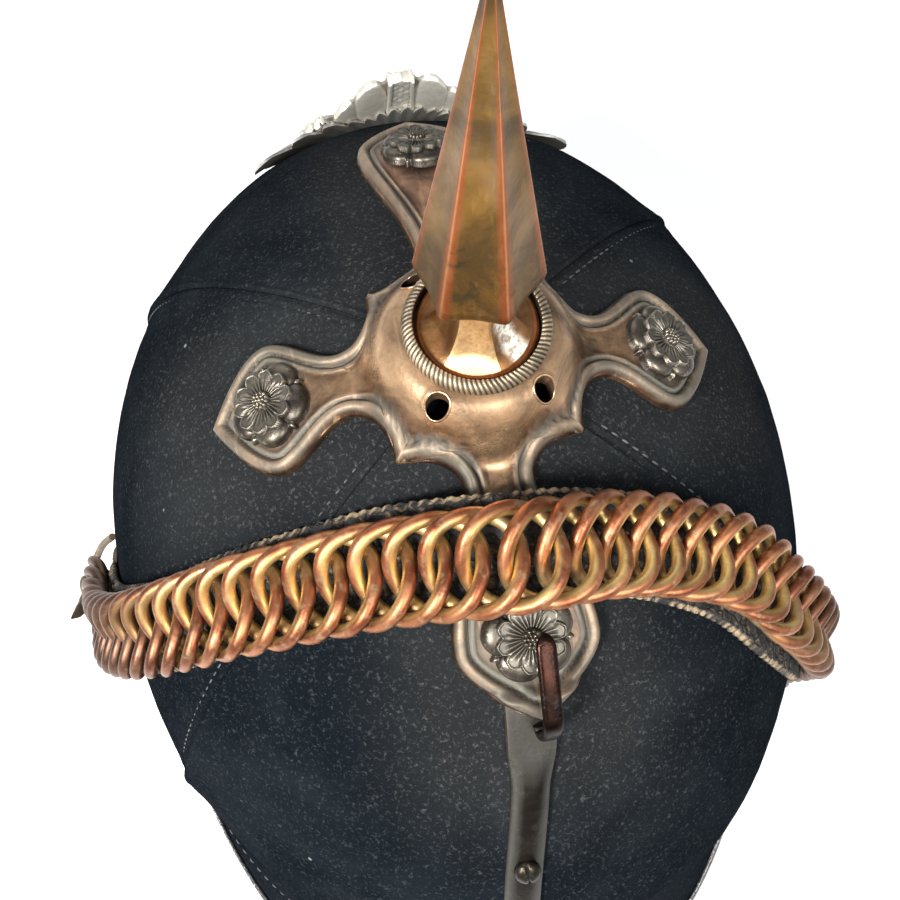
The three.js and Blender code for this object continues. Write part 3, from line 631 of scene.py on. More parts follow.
    def at_side_angle(self, side_angle: Array, y: Array) -> Array:
        """Points of the dome at an angle round the Y axis and a distance behind the spike's axis.

        Args:
            side_angle: Angles from the wearer's left, in degrees.
            y: Distances behind the spike's axis.

        Returns:
            The points.
        """
        turn = np.radians(side_angle)
        x, z = self.half_width * np.cos(turn), self.dome_height * np.maximum(np.sin(turn), 0)
        low, high = np.zeros_like(x), np.full_like(x, 1.2)
        for _ in range(40):
            scale = (low + high) / 2
            across = np.hypot(x * scale / self.half_width, y / self.back)
            inside = across ** self.power + (z * scale / self.dome_height) ** self.power < 1
            low, high = np.where(inside, scale, low), np.where(inside, high, scale)
        below = np.minimum(self.dome_height * np.sin(turn), 0)
        x = x * low
        angle = np.arctan2(y / self.back, x / self.half_width)
        under = self.at(angle, self.level_at_height(angle, self.head_line + below))
        return np.where((below < 0)[..., None], under, point(x, y, self.head_line + z * low))

    def dome_normal(self, points: Array) -> Array:
        """Directions out of the dome at points on it.

        Args:
            points: Points on the dome.

        Returns:
            The unit directions.
        """
        x, y = points[..., 0], points[..., 1]
        reach = np.where(y > 0, self.back, self.front)
        height = np.maximum(points[..., 2] - self.head_line, 0)
        across = np.hypot(x / self.half_width, y / reach) ** (self.power - 2)
        up = height ** (self.power - 1) / self.dome_height ** self.power
        return unit(point(across * x / self.half_width ** 2, across * y / reach ** 2, up))

    def band_lift(self, height: Amount) -> Amount:
        """How far a fitting is lifted where it passes over the cloth band."""
        top = self.panel_foot + self.band_width
        return (self.band_thickness + GAP) * smooth_step(top + 7, top, height)

    def front_at(self, x: Array, z: Array) -> Array:
        """Points of the body's front at given x and height.

        Args:
            x: Places to the wearer's left.
            z: Heights over the floor.

        Returns:
            The points.
        """
        angle = -np.arccos(np.clip(x / self.half_width, -0.99, 0.99))
        level = np.ones_like(angle)
        for _ in range(8):
            low, high = np.zeros_like(angle), np.full_like(angle, 2.0)
            for _ in range(26):
                level = (low + high) / 2
                over = self.at(angle, level)[..., 2] > z
                low, high = np.where(over, level, low), np.where(over, high, level)
            now = self.at(angle, level)[..., 0]
            slope = (self.at(angle + 1e-3, level)[..., 0] - now) / 1e-3
            angle = angle + np.clip((x - now) / slope, -0.3, 0.3)
        return self.at(angle, level)


# ---------------------------------------------------------------- shader building

Value = float | Socket
Tint = Colour | Socket


class NodeSheet:
    """A node tree filled by plain calls."""

    def __init__(self, tree: bpy.types.NodeTree) -> None:
        """Takes the tree to fill."""
        self.tree = tree

    def node(self, kind: str, inputs: dict[str | int, object] | None = None,
             **settings: object) -> bpy.types.Node:
        """Adds a node.

        Args:
            kind: The node's type.
            inputs: Numbers, colours or sockets for its inputs.
            settings: Its own settings.

        Returns:
            The node.
        """
        made = self.tree.nodes.new(kind)
        for name, value in settings.items():
            setattr(made, name, value)
        for name, value in (inputs or {}).items():
            self.feed(made.inputs[name], value)
        return made

    def feed(self, target: Socket, value: object) -> None:
        """Sets an input, or links a socket to it.

        Args:
            target: The input.
            value: A socket, a colour or a number.
        """
        if isinstance(value, Socket):
            self.tree.links.new(value, target)
        elif target.type == "RGBA":
            target.default_value = (*value, 1)
        else:
            target.default_value = value

    def math(self, operation: str, first: Value, second: Value = 0.0, clamp: bool = False) -> Socket:
        """The result of an operation on one or two values."""
        made = self.node("ShaderNodeMath", {0: first, 1: second}, operation=operation, use_clamp=clamp)
        return made.outputs[0]

    def times(self, first: Value, second: Value, clamp: bool = False) -> Socket:
        """The product of two values."""
        return self.math("MULTIPLY", first, second, clamp)

    def plus(self, first: Value, second: Value, clamp: bool = False) -> Socket:
        """The sum of two values."""
        return self.math("ADD", first, second, clamp)

    def larger(self, first: Value, second: Value) -> Socket:
        """The larger of two values."""
        return self.math("MAXIMUM", first, second)

    def blend(self, share: Value, first: Tint, second: Tint) -> Socket:
        """A colour between two colours.

        Args:
            share: How much of the second.
            first: One colour.
            second: The other.

        Returns:
            The colour.
        """
        made = self.node("ShaderNodeMix", data_type="RGBA", clamp_factor=True)
        self.feed(made.inputs["Factor"], share)
        self.feed(made.inputs[6], first)
        self.feed(made.inputs[7], second)
        return made.outputs[2]

    def between(self, share: Value, first: Value, second: Value) -> Socket:
        """A value between two values.

        Args:
            share: How much of the second.
            first: One value.
            second: The other.

        Returns:
            The value.
        """
        made = self.node("ShaderNodeMix", data_type="FLOAT", clamp_factor=True)
        self.feed(made.inputs["Factor"], share)
        self.feed(made.inputs[2], first)
        self.feed(made.inputs[3], second)
        return made.outputs[0]

    def step(self, value: Value, low: float, high: float) -> Socket:
        """0 below low, 1 above high and smooth between.

        Args:
            value: The value tested.
            low: Where it leaves 0.
            high: Where it reaches 1.

        Returns:
            The share.
        """
        made = self.node("ShaderNodeMapRange", {"Value": value, "From Min": low, "From Max": high},
                         interpolation_type="SMOOTHSTEP")
        return made.outputs["Result"]

    def noise(self, scale: Value, detail: float = 4.0, roughness: float = 0.55, distortion: float = 0.0,
              where: Socket | None = None) -> Socket:
        """Noise of a scale in waves for each metre.

        Args:
            scale: Waves for each metre.
            detail: How many finer layers.
            roughness: How strong the finer layers are.
            distortion: How far the waves are bent.
            where: The place it is read at.

        Returns:
            The noise.
        """
        place = where or self.place()
        made = self.node("ShaderNodeTexNoise", {"Vector": place, "Scale": scale, "Detail": detail,
                                                "Roughness": roughness, "Distortion": distortion})
        return made.outputs["Fac"]

    def dress(self, shader: bpy.types.Node, colour: Tint, rough: Value, height: Value, strength: float,
              depth: float = 0.0002) -> None:
        """Gives a shader its colour, its roughness and its fine relief.

        Args:
            shader: The Principled BSDF.
            colour: Its base colour.
            rough: Its roughness.
            height: The relief's height.
            strength: How strongly the relief shows.
            depth: The relief's depth, in metres.
        """
        self.feed(shader.inputs["Base Color"], colour)
        self.feed(shader.inputs["Roughness"], rough)
        raised = self.node("ShaderNodeBump", {"Height": height, "Strength": strength, "Distance": depth})
        self.feed(shader.inputs["Normal"], raised.outputs[0])

    def place(self) -> Socket:
        """The surface's own position, in metres."""
        return self.node("ShaderNodeTexCoord").outputs["Object"]

    def mask(self, name: str) -> Socket:
        """A mask that the mesh carries."""
        return self.node("ShaderNodeAttribute", attribute_name=name).outputs["Fac"]


class Effect:
    """A shader node group with named inputs and outputs, built once."""

    name = ""
    inputs: dict[str, float] = {}
    outputs: tuple[str, ...] = ()

    @classmethod
    def fill(cls, sheet: NodeSheet, given: Sockets) -> Sockets:
        """Builds the inside and returns a socket for each output."""
        raise NotImplementedError

    @classmethod
    def tree(cls) -> bpy.types.NodeTree:
        """The group's tree, made at the first call.

        Returns:
            The tree.
        """
        found = bpy.data.node_groups.get(cls.name)
        if found:
            return found
        made = bpy.data.node_groups.new(cls.name, "ShaderNodeTree")
        for name, value in cls.inputs.items():
            socket = made.interface.new_socket(name=name, in_out="INPUT", socket_type="NodeSocketFloat")
            socket.default_value = value
        for name in cls.outputs:
            made.interface.new_socket(name=name, in_out="OUTPUT", socket_type="NodeSocketFloat")
        sheet = NodeSheet(made)
        source = sheet.node("NodeGroupInput")
        target = sheet.node("NodeGroupOutput")
        given = {name: source.outputs[name] for name in cls.inputs}
        for name, socket in cls.fill(sheet, given).items():
            made.links.new(socket, target.inputs[name])
        return made

    @classmethod
    def put(cls, sheet: NodeSheet, **values: Value) -> Sockets:
        """Places the group in a material with its own values.

        Args:
            sheet: The material's nodes.
            values: Values for the group's inputs, with _ for each space.

        Returns:
            The group's outputs by name.
        """
        made = sheet.node("ShaderNodeGroup", node_tree=cls.tree())
        for name, value in values.items():
            sheet.feed(made.inputs[name.replace("_", " ")], value)
        return {name: made.outputs[name] for name in cls.outputs}


class EdgeWear(Effect):
    """Where a raised edge is rubbed bright, and where a hollow is darkened."""

    name = "edge_wear"
    inputs = {"Reach": 0.08, "Break up": 400.0}
    outputs = ("Edge", "Hollow")

    @classmethod
    def fill(cls, sheet: NodeSheet, given: Sockets) -> Sockets:
        """Builds the inside and returns a socket for each output.

        Args:
            sheet: The node tree being filled.
            given: The group's inputs by name.

        Returns:
            A socket for each output.
        """
        sharp = sheet.node("ShaderNodeNewGeometry").outputs["Pointiness"]
        away = sheet.math("SUBTRACT", sharp, 0.5)
        ragged = sheet.between(sheet.noise(given["Break up"], 3.0), 0.4, 1.4)
        edge = sheet.math("DIVIDE", sheet.times(away, ragged), given["Reach"], clamp=True)
        hollow = sheet.math("DIVIDE", sheet.times(away, -1.0), given["Reach"], clamp=True)
        return {"Edge": edge, "Hollow": hollow}


class Mottling(Effect):
    """Cloudy patches and fine grain of a hand-darkened surface."""

    name = "mottling"
    inputs = {"Patch scale": 60.0, "Grain scale": 1200.0, "Warp": 1.0}
    outputs = ("Patches", "Spots", "Grain")

    @classmethod
    def fill(cls, sheet: NodeSheet, given: Sockets) -> Sockets:
        """Builds the inside and returns a socket for each output.

        Args:
            sheet: The node tree being filled.
            given: The group's inputs by name.

        Returns:
            A socket for each output.
        """
        clouds = sheet.noise(given["Patch scale"], 6.0, 0.62, given["Warp"])
        spots = sheet.noise(sheet.times(given["Patch scale"], 4.3), 5.0, 0.7, 0.4)
        grain = sheet.noise(given["Grain scale"], 3.0, 0.6)
        return {"Patches": sheet.step(clouds, 0.36, 0.66), "Spots": sheet.step(spots, 0.5, 0.68),
                "Grain": grain}


class WoolNap(Effect):
    """The felted face of milled wool: short tangled fibres, pale flecks and slow clouds."""

    name = "wool_nap"
    inputs = {"Fibre scale": 1250.0, "Cloud scale": 35.0}
    outputs = ("Height", "Fleck", "Cloud", "Lint")

    @classmethod
    def fill(cls, sheet: NodeSheet, given: Sockets) -> Sockets:
        """Builds the inside and returns a socket for each output.

        Args:
            sheet: The node tree being filled.
            given: The group's inputs by name.

        Returns:
            A socket for each output.
        """
        fibres = sheet.noise(given["Fibre scale"], 4.0, 0.7, 0.7)
        coarse = sheet.noise(sheet.times(given["Fibre scale"], 0.42), 3.0, 0.65, 0.8)
        height = sheet.between(0.45, fibres, coarse)
        cloud = sheet.noise(given["Cloud scale"], 5.0, 0.6, 0.5)
        specks = sheet.node("ShaderNodeTexVoronoi", {
            "Vector": sheet.place(), "Scale": sheet.times(given["Fibre scale"], 0.17)})
        near = sheet.step(specks.outputs["Distance"], 0.13, 0.05)
        chosen = sheet.step(sheet.node("ShaderNodeSeparateColor", {
            "Color": specks.outputs["Color"]}).outputs[0], 0.955, 0.965)
        return {"Height": height, "Fleck": sheet.step(fibres, 0.52, 0.74), "Cloud": cloud,
                "Lint": sheet.times(near, chosen)}


class SettledDust(Effect):
    """Pale dust that lies on what faces up, in a broken film."""

    name = "settled_dust"
    inputs = {"Amount": 0.3, "Scale": 90.0}
    outputs = ("Dust",)

    @classmethod
    def fill(cls, sheet: NodeSheet, given: Sockets) -> Sockets:
        """Builds the inside and returns a socket for each output.

        Args:
            sheet: The node tree being filled.
            given: The group's inputs by name.

        Returns:
            A socket for each output.
        """
        facing = sheet.node("ShaderNodeSeparateXYZ", {
            0: sheet.node("ShaderNodeNewGeometry").outputs["Normal"]}).outputs["Z"]
        film = sheet.step(sheet.noise(given["Scale"], 7.0, 0.75, 0.8), 0.38, 0.78)
        up = sheet.step(facing, 0.15, 0.95)
        return {"Dust": sheet.times(sheet.times(film, up), given["Amount"], clamp=True)}


class Scratches(Effect):
    """Fine short scratches from handling and cleaning."""

    name = "scratches"
    inputs = {"Scale": 700.0}
    outputs = ("Lines",)

    @classmethod
    def fill(cls, sheet: NodeSheet, given: Sockets) -> Sockets:
        """Builds the inside and returns a socket for each output.

        Args:
            sheet: The node tree being filled.
            given: The group's inputs by name.

        Returns:
            A socket for each output.
        """
        lines = None
        for turn in (0.5, 1.9):
            spun = sheet.node("ShaderNodeMapping", {"Vector": sheet.place()})
            spun.inputs["Rotation"].default_value = (0.3, turn, turn * 1.3)
            spun.inputs["Scale"].default_value = (1.0, 0.06, 0.3)
            drawn = sheet.step(sheet.noise(given["Scale"], 2.0, 0.4, 0.2, spun.outputs[0]), 0.63, 0.7)
            lines = drawn if lines is None else sheet.larger(lines, drawn)
        return {"Lines": lines}


def new_material(name: str) -> tuple[Material, NodeSheet, bpy.types.Node]:
    """An empty node material.

    Args:
        name: The material's name.

    Returns:
        The material, its sheet of nodes and its Principled BSDF.
    """
    made = bpy.data.materials.new(name)
    made.use_nodes = True
    made.node_tree.nodes.clear()
    sheet = NodeSheet(made.node_tree)
    shader = sheet.node("ShaderNodeBsdfPrincipled")
    output = sheet.node("ShaderNodeOutputMaterial")
    made.node_tree.links.new(shader.outputs[0], output.inputs[0])
    return made, sheet, shader


@dataclass(frozen=True)
class ClothFinish:
    """Dark blue milled wool, dusty where it faces up and near the metal."""

    name: str = "dark_blue_wool"
    deep: Colour = (0.0034, 0.0052, 0.0072)
    worn: Colour = (0.0078, 0.0105, 0.0132)
    fleck: Colour = (0.036, 0.039, 0.042)
    dust: Colour = (0.10, 0.094, 0.083)
    lint: Colour = (0.17, 0.17, 0.16)
    dustiness: float = 0.12

    def material(self) -> Material:
        """The cloth's material, which reads the mask dusty.

        Returns:
            The material.
        """
        made, sheet, shader = new_material(self.name)
        nap = WoolNap.put(sheet)
        settled = SettledDust.put(sheet, Amount=self.dustiness, Scale=70.0)
        base = sheet.blend(sheet.step(nap["Cloud"], 0.35, 0.7), self.deep, self.worn)
        base = sheet.blend(sheet.times(nap["Fleck"], 0.85), base, self.fleck)
        near_metal = sheet.times(sheet.mask("dusty"), sheet.between(nap["Fleck"], 0.12, 0.5))
        dusty = sheet.plus(sheet.times(settled["Dust"], sheet.between(nap["Fleck"], 0.15, 0.8)),
                           near_metal, clamp=True)
        base = sheet.blend(dusty, base, self.dust)
        base = sheet.blend(nap["Lint"], base, self.lint)
        sheet.feed(shader.inputs["Specular IOR Level"], 0.0)
        sheet.feed(shader.inputs["Sheen Weight"], 0.005)
        sheet.feed(shader.inputs["Sheen Roughness"], 0.4)
        sheet.feed(shader.inputs["Sheen Tint"], (0.55, 0.6, 0.75))
        sheet.dress(shader, base, 0.94, nap["Height"], 0.9, 0.0006)
        return made


@dataclass(frozen=True)
class MetalFinish:
    """A darkened metal with rubbed bright places, dark patches and a pale patina in the hollows."""

    name: str
    body: Colour
    bright: Colour
    dark: Colour
    patina: Colour
    roughness: float = 0.34
    patch_scale: float = 60.0
    patina_everywhere: float = 0.15
    wear: float = 0.8
    reach: float = 0.06
    grain: float = 0.12

    def material(self) -> Material:
        """The metal's material. Masks: rubbed, aged, and one that darkens recesses.

        Returns:
            The material.
        """
        made, sheet, shader = new_material(self.name)
        mottled = Mottling.put(sheet, Patch_scale=self.patch_scale)
        edges = EdgeWear.put(sheet, Reach=self.reach)
        lines = Scratches.put(sheet)["Lines"]
        rubbed, aged, recess_dark = sheet.mask("rubbed"), sheet.mask("aged"), sheet.mask("recess_dark")
        base = sheet.blend(mottled["Patches"], self.dark, self.body)
        base = sheet.blend(sheet.times(mottled["Spots"], 0.45), base, self.dark)
        polish = sheet.times(sheet.plus(rubbed, edges["Edge"], clamp=True), self.wear)
        polish = sheet.times(polish, sheet.between(mottled["Patches"], 0.2, 1.15))
        polish = sheet.times(polish, sheet.between(mottled["Grain"], 0.6, 1.3), clamp=True)
        base = sheet.blend(polish, base, self.bright)
        cover = sheet.plus(sheet.times(mottled["Spots"], self.patina_everywhere),
                           sheet.times(aged, sheet.between(mottled["Grain"], 0.6, 1.2)), clamp=True)
        base = sheet.blend(cover, base, self.patina)
        # Darkened in recesses: where the mesh's recess mask is set and where the surface's pointiness finds a
        # hollow.
        recess_share = sheet.larger(recess_dark, sheet.times(edges["Hollow"], 0.8))
        base = sheet.blend(recess_share, base, tuple(0.25 * part for part in self.dark))
        base = sheet.blend(sheet.times(lines, 0.07), base, self.bright)
        dull = sheet.larger(cover, sheet.times(recess_share, 0.9))
        sheet.feed(shader.inputs["Metallic"], sheet.between(dull, 0.96, 0.35))
        rough = sheet.between(mottled["Patches"], self.roughness + 0.12, self.roughness)
        rough = sheet.between(polish, rough, self.roughness * 0.72)
        rough = sheet.between(dull, rough, 0.62)
        rough = sheet.plus(rough, sheet.times(mottled["Grain"], self.grain))
        relief = sheet.plus(sheet.times(mottled["Grain"], 0.5), mottled["Spots"])
        sheet.dress(shader, base, rough, relief, 0.22)
        return made


@dataclass(frozen=True)
class LeatherFinish:
    """Leather or worn velvet: a dark face with creases, and a paler cut edge."""

    name: str
    face: Colour
    faded: Colour
    edge: Colour
    flake: Colour
    roughness: float = 0.6
    crease_scale: float = 420.0
    crease: float = 0.6
    flakes: float = 0.5

    def material(self) -> Material:
        """The leather's material. Masks: edge, worn.

        Returns:
            The material.
        """
        made, sheet, shader = new_material(self.name)
        mottled = Mottling.put(sheet, Patch_scale=160.0, Grain_scale=2200.0)
        swirl = sheet.node("ShaderNodeTexNoise", {"Vector": sheet.place(), "Scale": 260.0}).outputs["Color"]
        warped = sheet.node("ShaderNodeVectorMath", {0: swirl, 1: (0.004, 0.004, 0.004), 2: sheet.place()},
                            operation="MULTIPLY_ADD").outputs[0]
        creases = sheet.node("ShaderNodeTexVoronoi", {"Vector": warped, "Scale": self.crease_scale},
                             feature="DISTANCE_TO_EDGE")
        folds = sheet.step(creases.outputs["Distance"], 0.0, 0.16)
        base = sheet.blend(mottled["Patches"], self.face, self.faded)
        base = sheet.blend(sheet.math("SUBTRACT", 1.0, folds), base, tuple(0.3 * part for part in self.face))
        chips = sheet.times(sheet.times(mottled["Spots"], folds), self.flakes)
        base = sheet.blend(sheet.larger(chips, sheet.mask("worn")), base, self.flake)
        base = sheet.blend(sheet.mask("edge"), base, self.edge)
        rough = sheet.between(mottled["Grain"], self.roughness - 0.1, self.roughness + 0.2)
        height = sheet.plus(folds, sheet.times(mottled["Grain"], 0.4))
        sheet.dress(shader, base, rough, height, self.crease, 0.0004)
        return made


@dataclass(frozen=True)
class ThreadFinish:
    """Waxed linen sewing thread."""

    name: str = "sewing_thread"
    colour: Colour = (0.03, 0.031, 0.036)
    pale: Colour = (0.085, 0.083, 0.082)

    def material(self) -> Material:
        """The thread's material.

        Returns:
            The material.
        """
        made, sheet, shader = new_material(self.name)
        mottled = Mottling.put(sheet, Patch_scale=300.0, Grain_scale=3000.0)
        colour = sheet.blend(mottled["Patches"], self.colour, self.pale)
        sheet.dress(shader, colour, sheet.between(mottled["Grain"], 0.6, 0.9), mottled["Grain"], 0.5)
        return made


@dataclass
class Workshop:
    """Holds each finish's material once and dresses pieces with it."""

    made: dict[str, Material] = field(default_factory=dict)

    def dress(self, piece: Piece, finish: object, slot: Slot, nodes: Sequence[str] = ()) -> None:
        """Gives a piece its material and its place on the frame.

        Args:
            piece: The piece.
            finish: The finish it takes.
            slot: Not used.
            nodes: The frame's nodes that it stands for.
        """
        if finish.name not in self.made:
            self.made[finish.name] = finish.material()
        piece.data.materials.clear()
        piece.data.materials.append(self.made[finish.name])
        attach(piece, "root")
        if nodes:
            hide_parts(*nodes)
        LOG.info("%s: %d faces, %s", piece.name, len(piece.data.polygons), finish.name)


# ---------------------------------------------------------------- cloth body


@dataclass
class ClothBody:
    """The four panels of the dome with their raised seams and stitches, the two peaks and the folded band."""

    form: HelmetForm
    shop: Workshop
    cloth: ClothFinish = ClothFinish()
    thread: ThreadFinish = ThreadFinish()
    seam_angle: float = 32.0
    panel_top: float = 0.015
    lift_at_crown: float = 0.35
    lift_at_head: float = 1.5
    lift_width: float = 5.5
    stitch_line: float = 2.3
    stitch_pitch: float = 2.5
    stitch_length: float = 1.5
    stitch_radius: float = 0.25
    stitch_sink: float = 0.12
    band_radius: float = 105.0
    band_stitch_line: float = 2.4
    unevenness: Ripples = Ripples(seed=4, wavelength=42, height=0.16)
    fine_unevenness: Ripples = Ripples(seed=9, wavelength=11, height=0.035)

    def build(self) -> None:
        """Builds every cloth piece."""
        seam = math.radians(self.seam_angle)
        spans = {
            "left_panel": (-seam, seam, False),
            "back_panel": (seam, math.pi - seam, True),
            "right_panel": (math.pi - seam, math.pi + seam, False),
            "front_panel": (math.pi + seam, TURN - seam, True),
        }
        for name, (start, end, on_top) in spans.items():
            self.shop.dress(self.panel(name, start, end, on_top), self.cloth, Slot.CLOTH, [name])
        self.shop.dress(self.peak("back_peak", 0, math.pi), self.cloth, Slot.CLOTH, ["back_peak"])
        self.shop.dress(self.peak("front_peak", -math.pi, 0), self.cloth, Slot.CLOTH, ["front_peak"])
        self.shop.dress(self.band(), self.cloth, Slot.CLOTH, ["cloth_band"])
        self.shop.dress(self.stitches(), self.thread, Slot.CLOTH)

    def seam_lift(self, distance: Array, level: Array, on_top: bool) -> Array:
        """How far a panel's face stands off the plain surface near a seam.

        Args:
            distance: Distance from the seam in millimetres.
            level: Level on the surface.
            on_top: Whether this panel's edge is folded over its neighbour's.

        Returns:
            The lift in millimetres.
        """
        height = mix(self.lift_at_crown, self.lift_at_head, smooth_step(0.35, 1.0, level))
        height = height * (1 - smooth_step(1.1, 1.35, level) * 0.6)
        if on_top:
            fold = height * bump(distance, self.lift_width) * smooth_step(-0.1, 0.5, distance)
            return fold + 0.25 * bump(distance - 0.7, 0.6) - 0.6 * bump(distance, 0.25)
        valley = -0.35 * bump(distance, 1.0) + 0.35 * height * bump(distance - 1.6, 2.2)
        return valley - 0.22 * bump(distance - self.stitch_line, 0.4)

    def dusty(self, points: Array) -> Array:
        """The share of dust on the cloth round the cross piece and the spine.

        Args:
            points: Points on the cloth.

        Returns:
            The share at each point.
        """
        x, y = points[..., 0] - self.form.top_axis, points[..., 1]
        near_arm = np.minimum(np.hypot(np.maximum(np.abs(x) - 52, 0), np.maximum(np.abs(y) - 9, 0)),
                              np.hypot(np.maximum(np.abs(y) - 66, 0), np.maximum(np.abs(x) - 9, 0)))
        return 0.75 * bump(np.maximum(near_arm - 6, 0), 13) * (points[..., 2] > 100)

    def panel(self, name: str, start: float, end: float, on_top: bool) -> Piece:
        """One panel of the dome.

        Args:
            name: The panel's name.
            start: The plan angle of its first seam.
            end: The plan angle of its last seam.
            on_top: Whether its edges are folded over its neighbours'.

        Returns:
            The panel.
        """
        across = dense_ends(self.form.half_width * (end - start), 0.5, 9.0, 46)
        down = np.linspace(0, 1, 96)
        angle, share = np.meshgrid(mix(start, end, across), down)
        foot = self.form.level_at_height(mix(start, end, across), self.form.panel_foot + GAP / 2)
        level = mix(self.panel_top, foot[None], share)
        speed = self.form.speed_round(angle, level)
        distance = np.minimum(angle - start, end - angle) * speed
        base = self.form.at(angle, level)
        lift = self.seam_lift(distance, level, on_top) + self.unevenness.at(base)
        lift = (lift + self.fine_unevenness.at(base)) * smooth_step(0.02, 0.12, level)
        outer = self.form.off(angle, level, lift)
        inner = self.form.off(angle, level, np.full_like(level, -self.form.wall))
        made = Shape()
        made.shell(outer, inner, masks={"dusty": self.dusty(base)})
        return made.made(f"cloth_{name}")

    def peak(self, name: str, start: float, end: float) -> Piece:
        """One peak, from the panels' foot to its binding.

        Args:
            name: The peak's name.
            start: The plan angle where it starts.
            end: The plan angle where it ends.

        Returns:
            The peak.
        """
        angle, share = np.meshgrid(np.linspace(start + 1e-3, end - 1e-3, 181), np.linspace(0, 1, 40))
        top = self.form.level_at_height(angle[0], self.form.panel_foot - GAP / 2)
        foot = 2 - 1.4 / self.form.speed_down(angle[0], 2.0)
        level = mix(top[None], foot[None], share)
        base = self.form.at(angle, level)
        lift = (self.unevenness.at(base) + self.fine_unevenness.at(base)) * smooth_step(0, 0.2, share)
        lift = lift * smooth_step(1, 0.85, share)
        made = Shape()
        made.shell(self.form.off(angle, level, lift),
                   self.form.off(angle, level, np.full_like(level, -self.form.wall)))
        return made.made(f"cloth_{name}")

    def band(self) -> Piece:
        """The folded cloth band round the foot of the dome, with a line of stitching near each edge.

        Returns:
            The band.
        """
        width, thick = self.form.band_width, self.form.band_thickness
        share = np.concatenate([np.linspace(0, 0.06, 5), np.linspace(0.08, 0.92, 22),
                                np.linspace(0.94, 1, 5)])
        edge = np.minimum(share, 1 - share) * width
        roll = np.sqrt(np.clip(1 - (1 - np.clip(edge / 0.9, 0, 1)) ** 2, 0, 1))
        face = GAP + thick * roll + 0.12 * bump(edge - 1.0, 0.6)
        face = face - 0.2 * bump(edge - self.band_stitch_line, 0.35)
        outline = np.concatenate([np.stack([share, face], -1), [[1, GAP], [0, GAP]]])
        angle = whole_turn(360)
        level = self.form.level_at_height(angle, self.form.panel_foot)
        speed = self.form.speed_down(angle, level)
        drop = (outline[:, 0] - 0.8) * width
        grid_angle = np.broadcast_to(angle[:, None], (len(angle), len(outline)))
        grid_level = level[:, None] + drop[None] / speed[:, None]
        wave = self.fine_unevenness.at(self.form.at(angle, level))[:, None] * 1.5
        offset = outline[None, :, 1] + wave * (outline[None, :, 1] > GAP + 0.01)
        made = Shape()
        made.tube(self.form.off(grid_angle, grid_level, offset), closed=True)
        return made.made("cloth_band_fold")

    def stitches(self) -> Piece:
        """The sewn lines beside the four seams and along both edges of the band.

        Returns:
            All the stitches as one piece.
        """
        made = Shape()
        seam = math.radians(self.seam_angle)
        for middle, turn in ((seam, -1), (math.pi - seam, 1), (math.pi + seam, -1), (TURN - seam, 1)):
            level = 0.2
            while level < 1.35:
                angle = middle + turn * self.stitch_line / self.form.speed_round(middle, level)
                speed = float(self.form.speed_down(angle, level))
                ends = level + np.array([0, self.stitch_length]) / speed
                self.stitch(made, np.array([angle, angle]), ends, -self.stitch_sink)
                level += self.stitch_pitch / speed
        width, line = self.form.band_width, self.band_stitch_line
        for drop in (-0.8 * width + line, 0.2 * width - line):
            for angle in np.arange(0, TURN, self.stitch_pitch * 1.15 / self.band_radius):
                ends = np.array([angle, angle + self.stitch_length / self.band_radius])
                level = self.form.level_at_height(ends, self.form.panel_foot)
                level = level + drop / self.form.speed_down(ends, level)
                self.stitch(made, ends, level, GAP + self.form.band_thickness - self.stitch_sink)
        return made.made("seam_stitches")

    def stitch(self, made: Shape, angle: Array, level: Array, offset: float) -> None:
        """Adds one stitch between two places on the surface.

        Args:
            made: The shape that takes the pieces.
            angle: The plan angles of its two ends.
            level: The levels of its two ends.
            offset: How far its middle line is off the surface.
        """
        ends = self.form.off(angle, level, np.array([offset, offset]))
        out = self.form.normal(angle[0], level[0])
        share = np.array([0, 0.12, 0.35, 0.65, 0.88, 1])
        size = np.array([0.35, 0.8, 1, 1, 0.8, 0.35])
        path = mix(ends[0], ends[1], share[:, None]) + out * (self.stitch_radius * (size - 0.7))[:, None]
        across, rise = frames_along(path, out)
        made.tube(swept(path, across, rise, round_outline(self.stitch_radius, 6), size))


